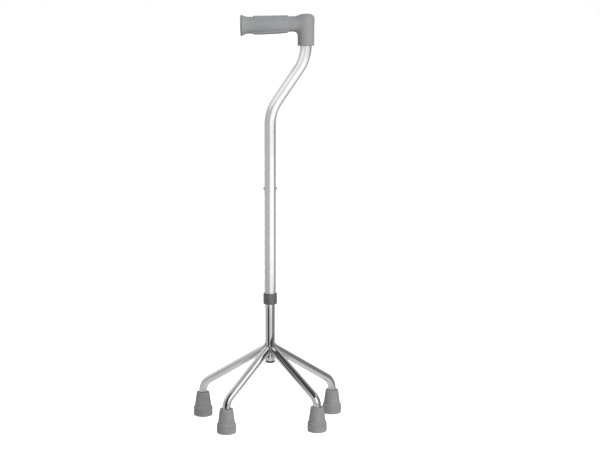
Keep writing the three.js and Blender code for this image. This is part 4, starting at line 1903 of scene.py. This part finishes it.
    def build_card(self, card: Card, centre: Vector) -> None:
        """Makes one curved board round the cane that only glossy rays see."""
        bearings = np.linspace(-card.spread / 2, card.spread / 2, CARD_COLUMNS) + card.bearing
        foot = np.array([centre + card.distance * self.toward(bearing) for bearing in bearings])
        grid = np.stack([foot + [0, 0, card.low + MM], foot + [0, 0, card.high]])
        self.add_board(card.name, grid, card.shade)

    def build_flag(self, flag: Flag) -> None:
        """Makes the small board along its leg's straight part."""
        foot = Extent(*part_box(f"ferrule_{flag.leg}"))
        inner = Extent(*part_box("post")).above(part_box(f"leg_{flag.leg}")[1].z)
        outer = foot.above(foot.high.z)
        along = (outer - inner).normalized()
        away = self.toward(flag.bearing, flag.rise)
        across = along.cross(away).normalized()
        middle = inner + flag.distance * away
        grid = np.array([[middle + run * along + side * flag.width / 2 * across
                          for run in (flag.start, flag.end)] for side in (-1, 1)])
        self.add_board(f"flag_{flag.leg}", grid, flag.shade)

    def add_board(self, name: str, grid: np.ndarray, shade: float) -> None:
        """Makes a board that only glossy rays see from a grid of its points."""
        board = skinned(f"board_{name}", grid, grid[..., :2])
        paint = Paint(f"board_{name}")
        paint.set(base_color=rgba((0.0,) * 3), roughness=1.0, emission_color=WHITE,
                  emission_strength=shade)
        board.data.materials.append(paint.material)
        board.visible_camera = False
        board.visible_diffuse = False
        board.visible_shadow = False

    def build_lamp(self, lamp: Lamp, target: Vector) -> None:
        """Adds a soft square lamp that faces the target and shows in no reflection."""
        data = bpy.data.lights.new(lamp.name, "AREA")
        data.shape = "SQUARE"
        data.size = lamp.size
        data.energy = lamp.power
        light = bpy.data.objects.new(lamp.name, data)
        bpy.context.scene.collection.objects.link(light)
        light.location = target + lamp.distance * self.toward(lamp.bearing, lamp.rise)
        light.rotation_euler = (target - light.location).to_track_quat("-Z", "Y").to_euler()
        light.visible_camera = False
        light.visible_glossy = False

    def build_camera(self, scene: bpy.types.Scene, centre: Vector) -> None:
        """Places the camera at its distance, height, yaw and pitch."""
        data = bpy.data.cameras.new("viewpoint")
        data.sensor_width = 36.0
        data.lens = self.focal_share * data.sensor_width
        data.shift_x = self.shift
        data.clip_start, data.clip_end = 0.05, 100.0
        camera = bpy.data.objects.new("viewpoint", data)
        scene.collection.objects.link(camera)
        camera.location = (centre + self.camera_distance * self.toward(0)
                           + self.camera_height * UP)
        look = -self.toward(0, math.degrees(self.camera_pitch))
        camera.rotation_euler = look.to_track_quat("-Z", "Y").to_euler()
        scene.camera = camera


def main() -> None:
    """Builds the cane and the studio, in order, and reports each piece."""
    logging.basicConfig(level=logging.INFO, format="%(name)s %(message)s")
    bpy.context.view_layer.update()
    finishes = Finishes()
    UpperSection().build(finishes)
    LowerSection().build(finishes)
    Studio().build()


if __name__ == "__main__":
    main()
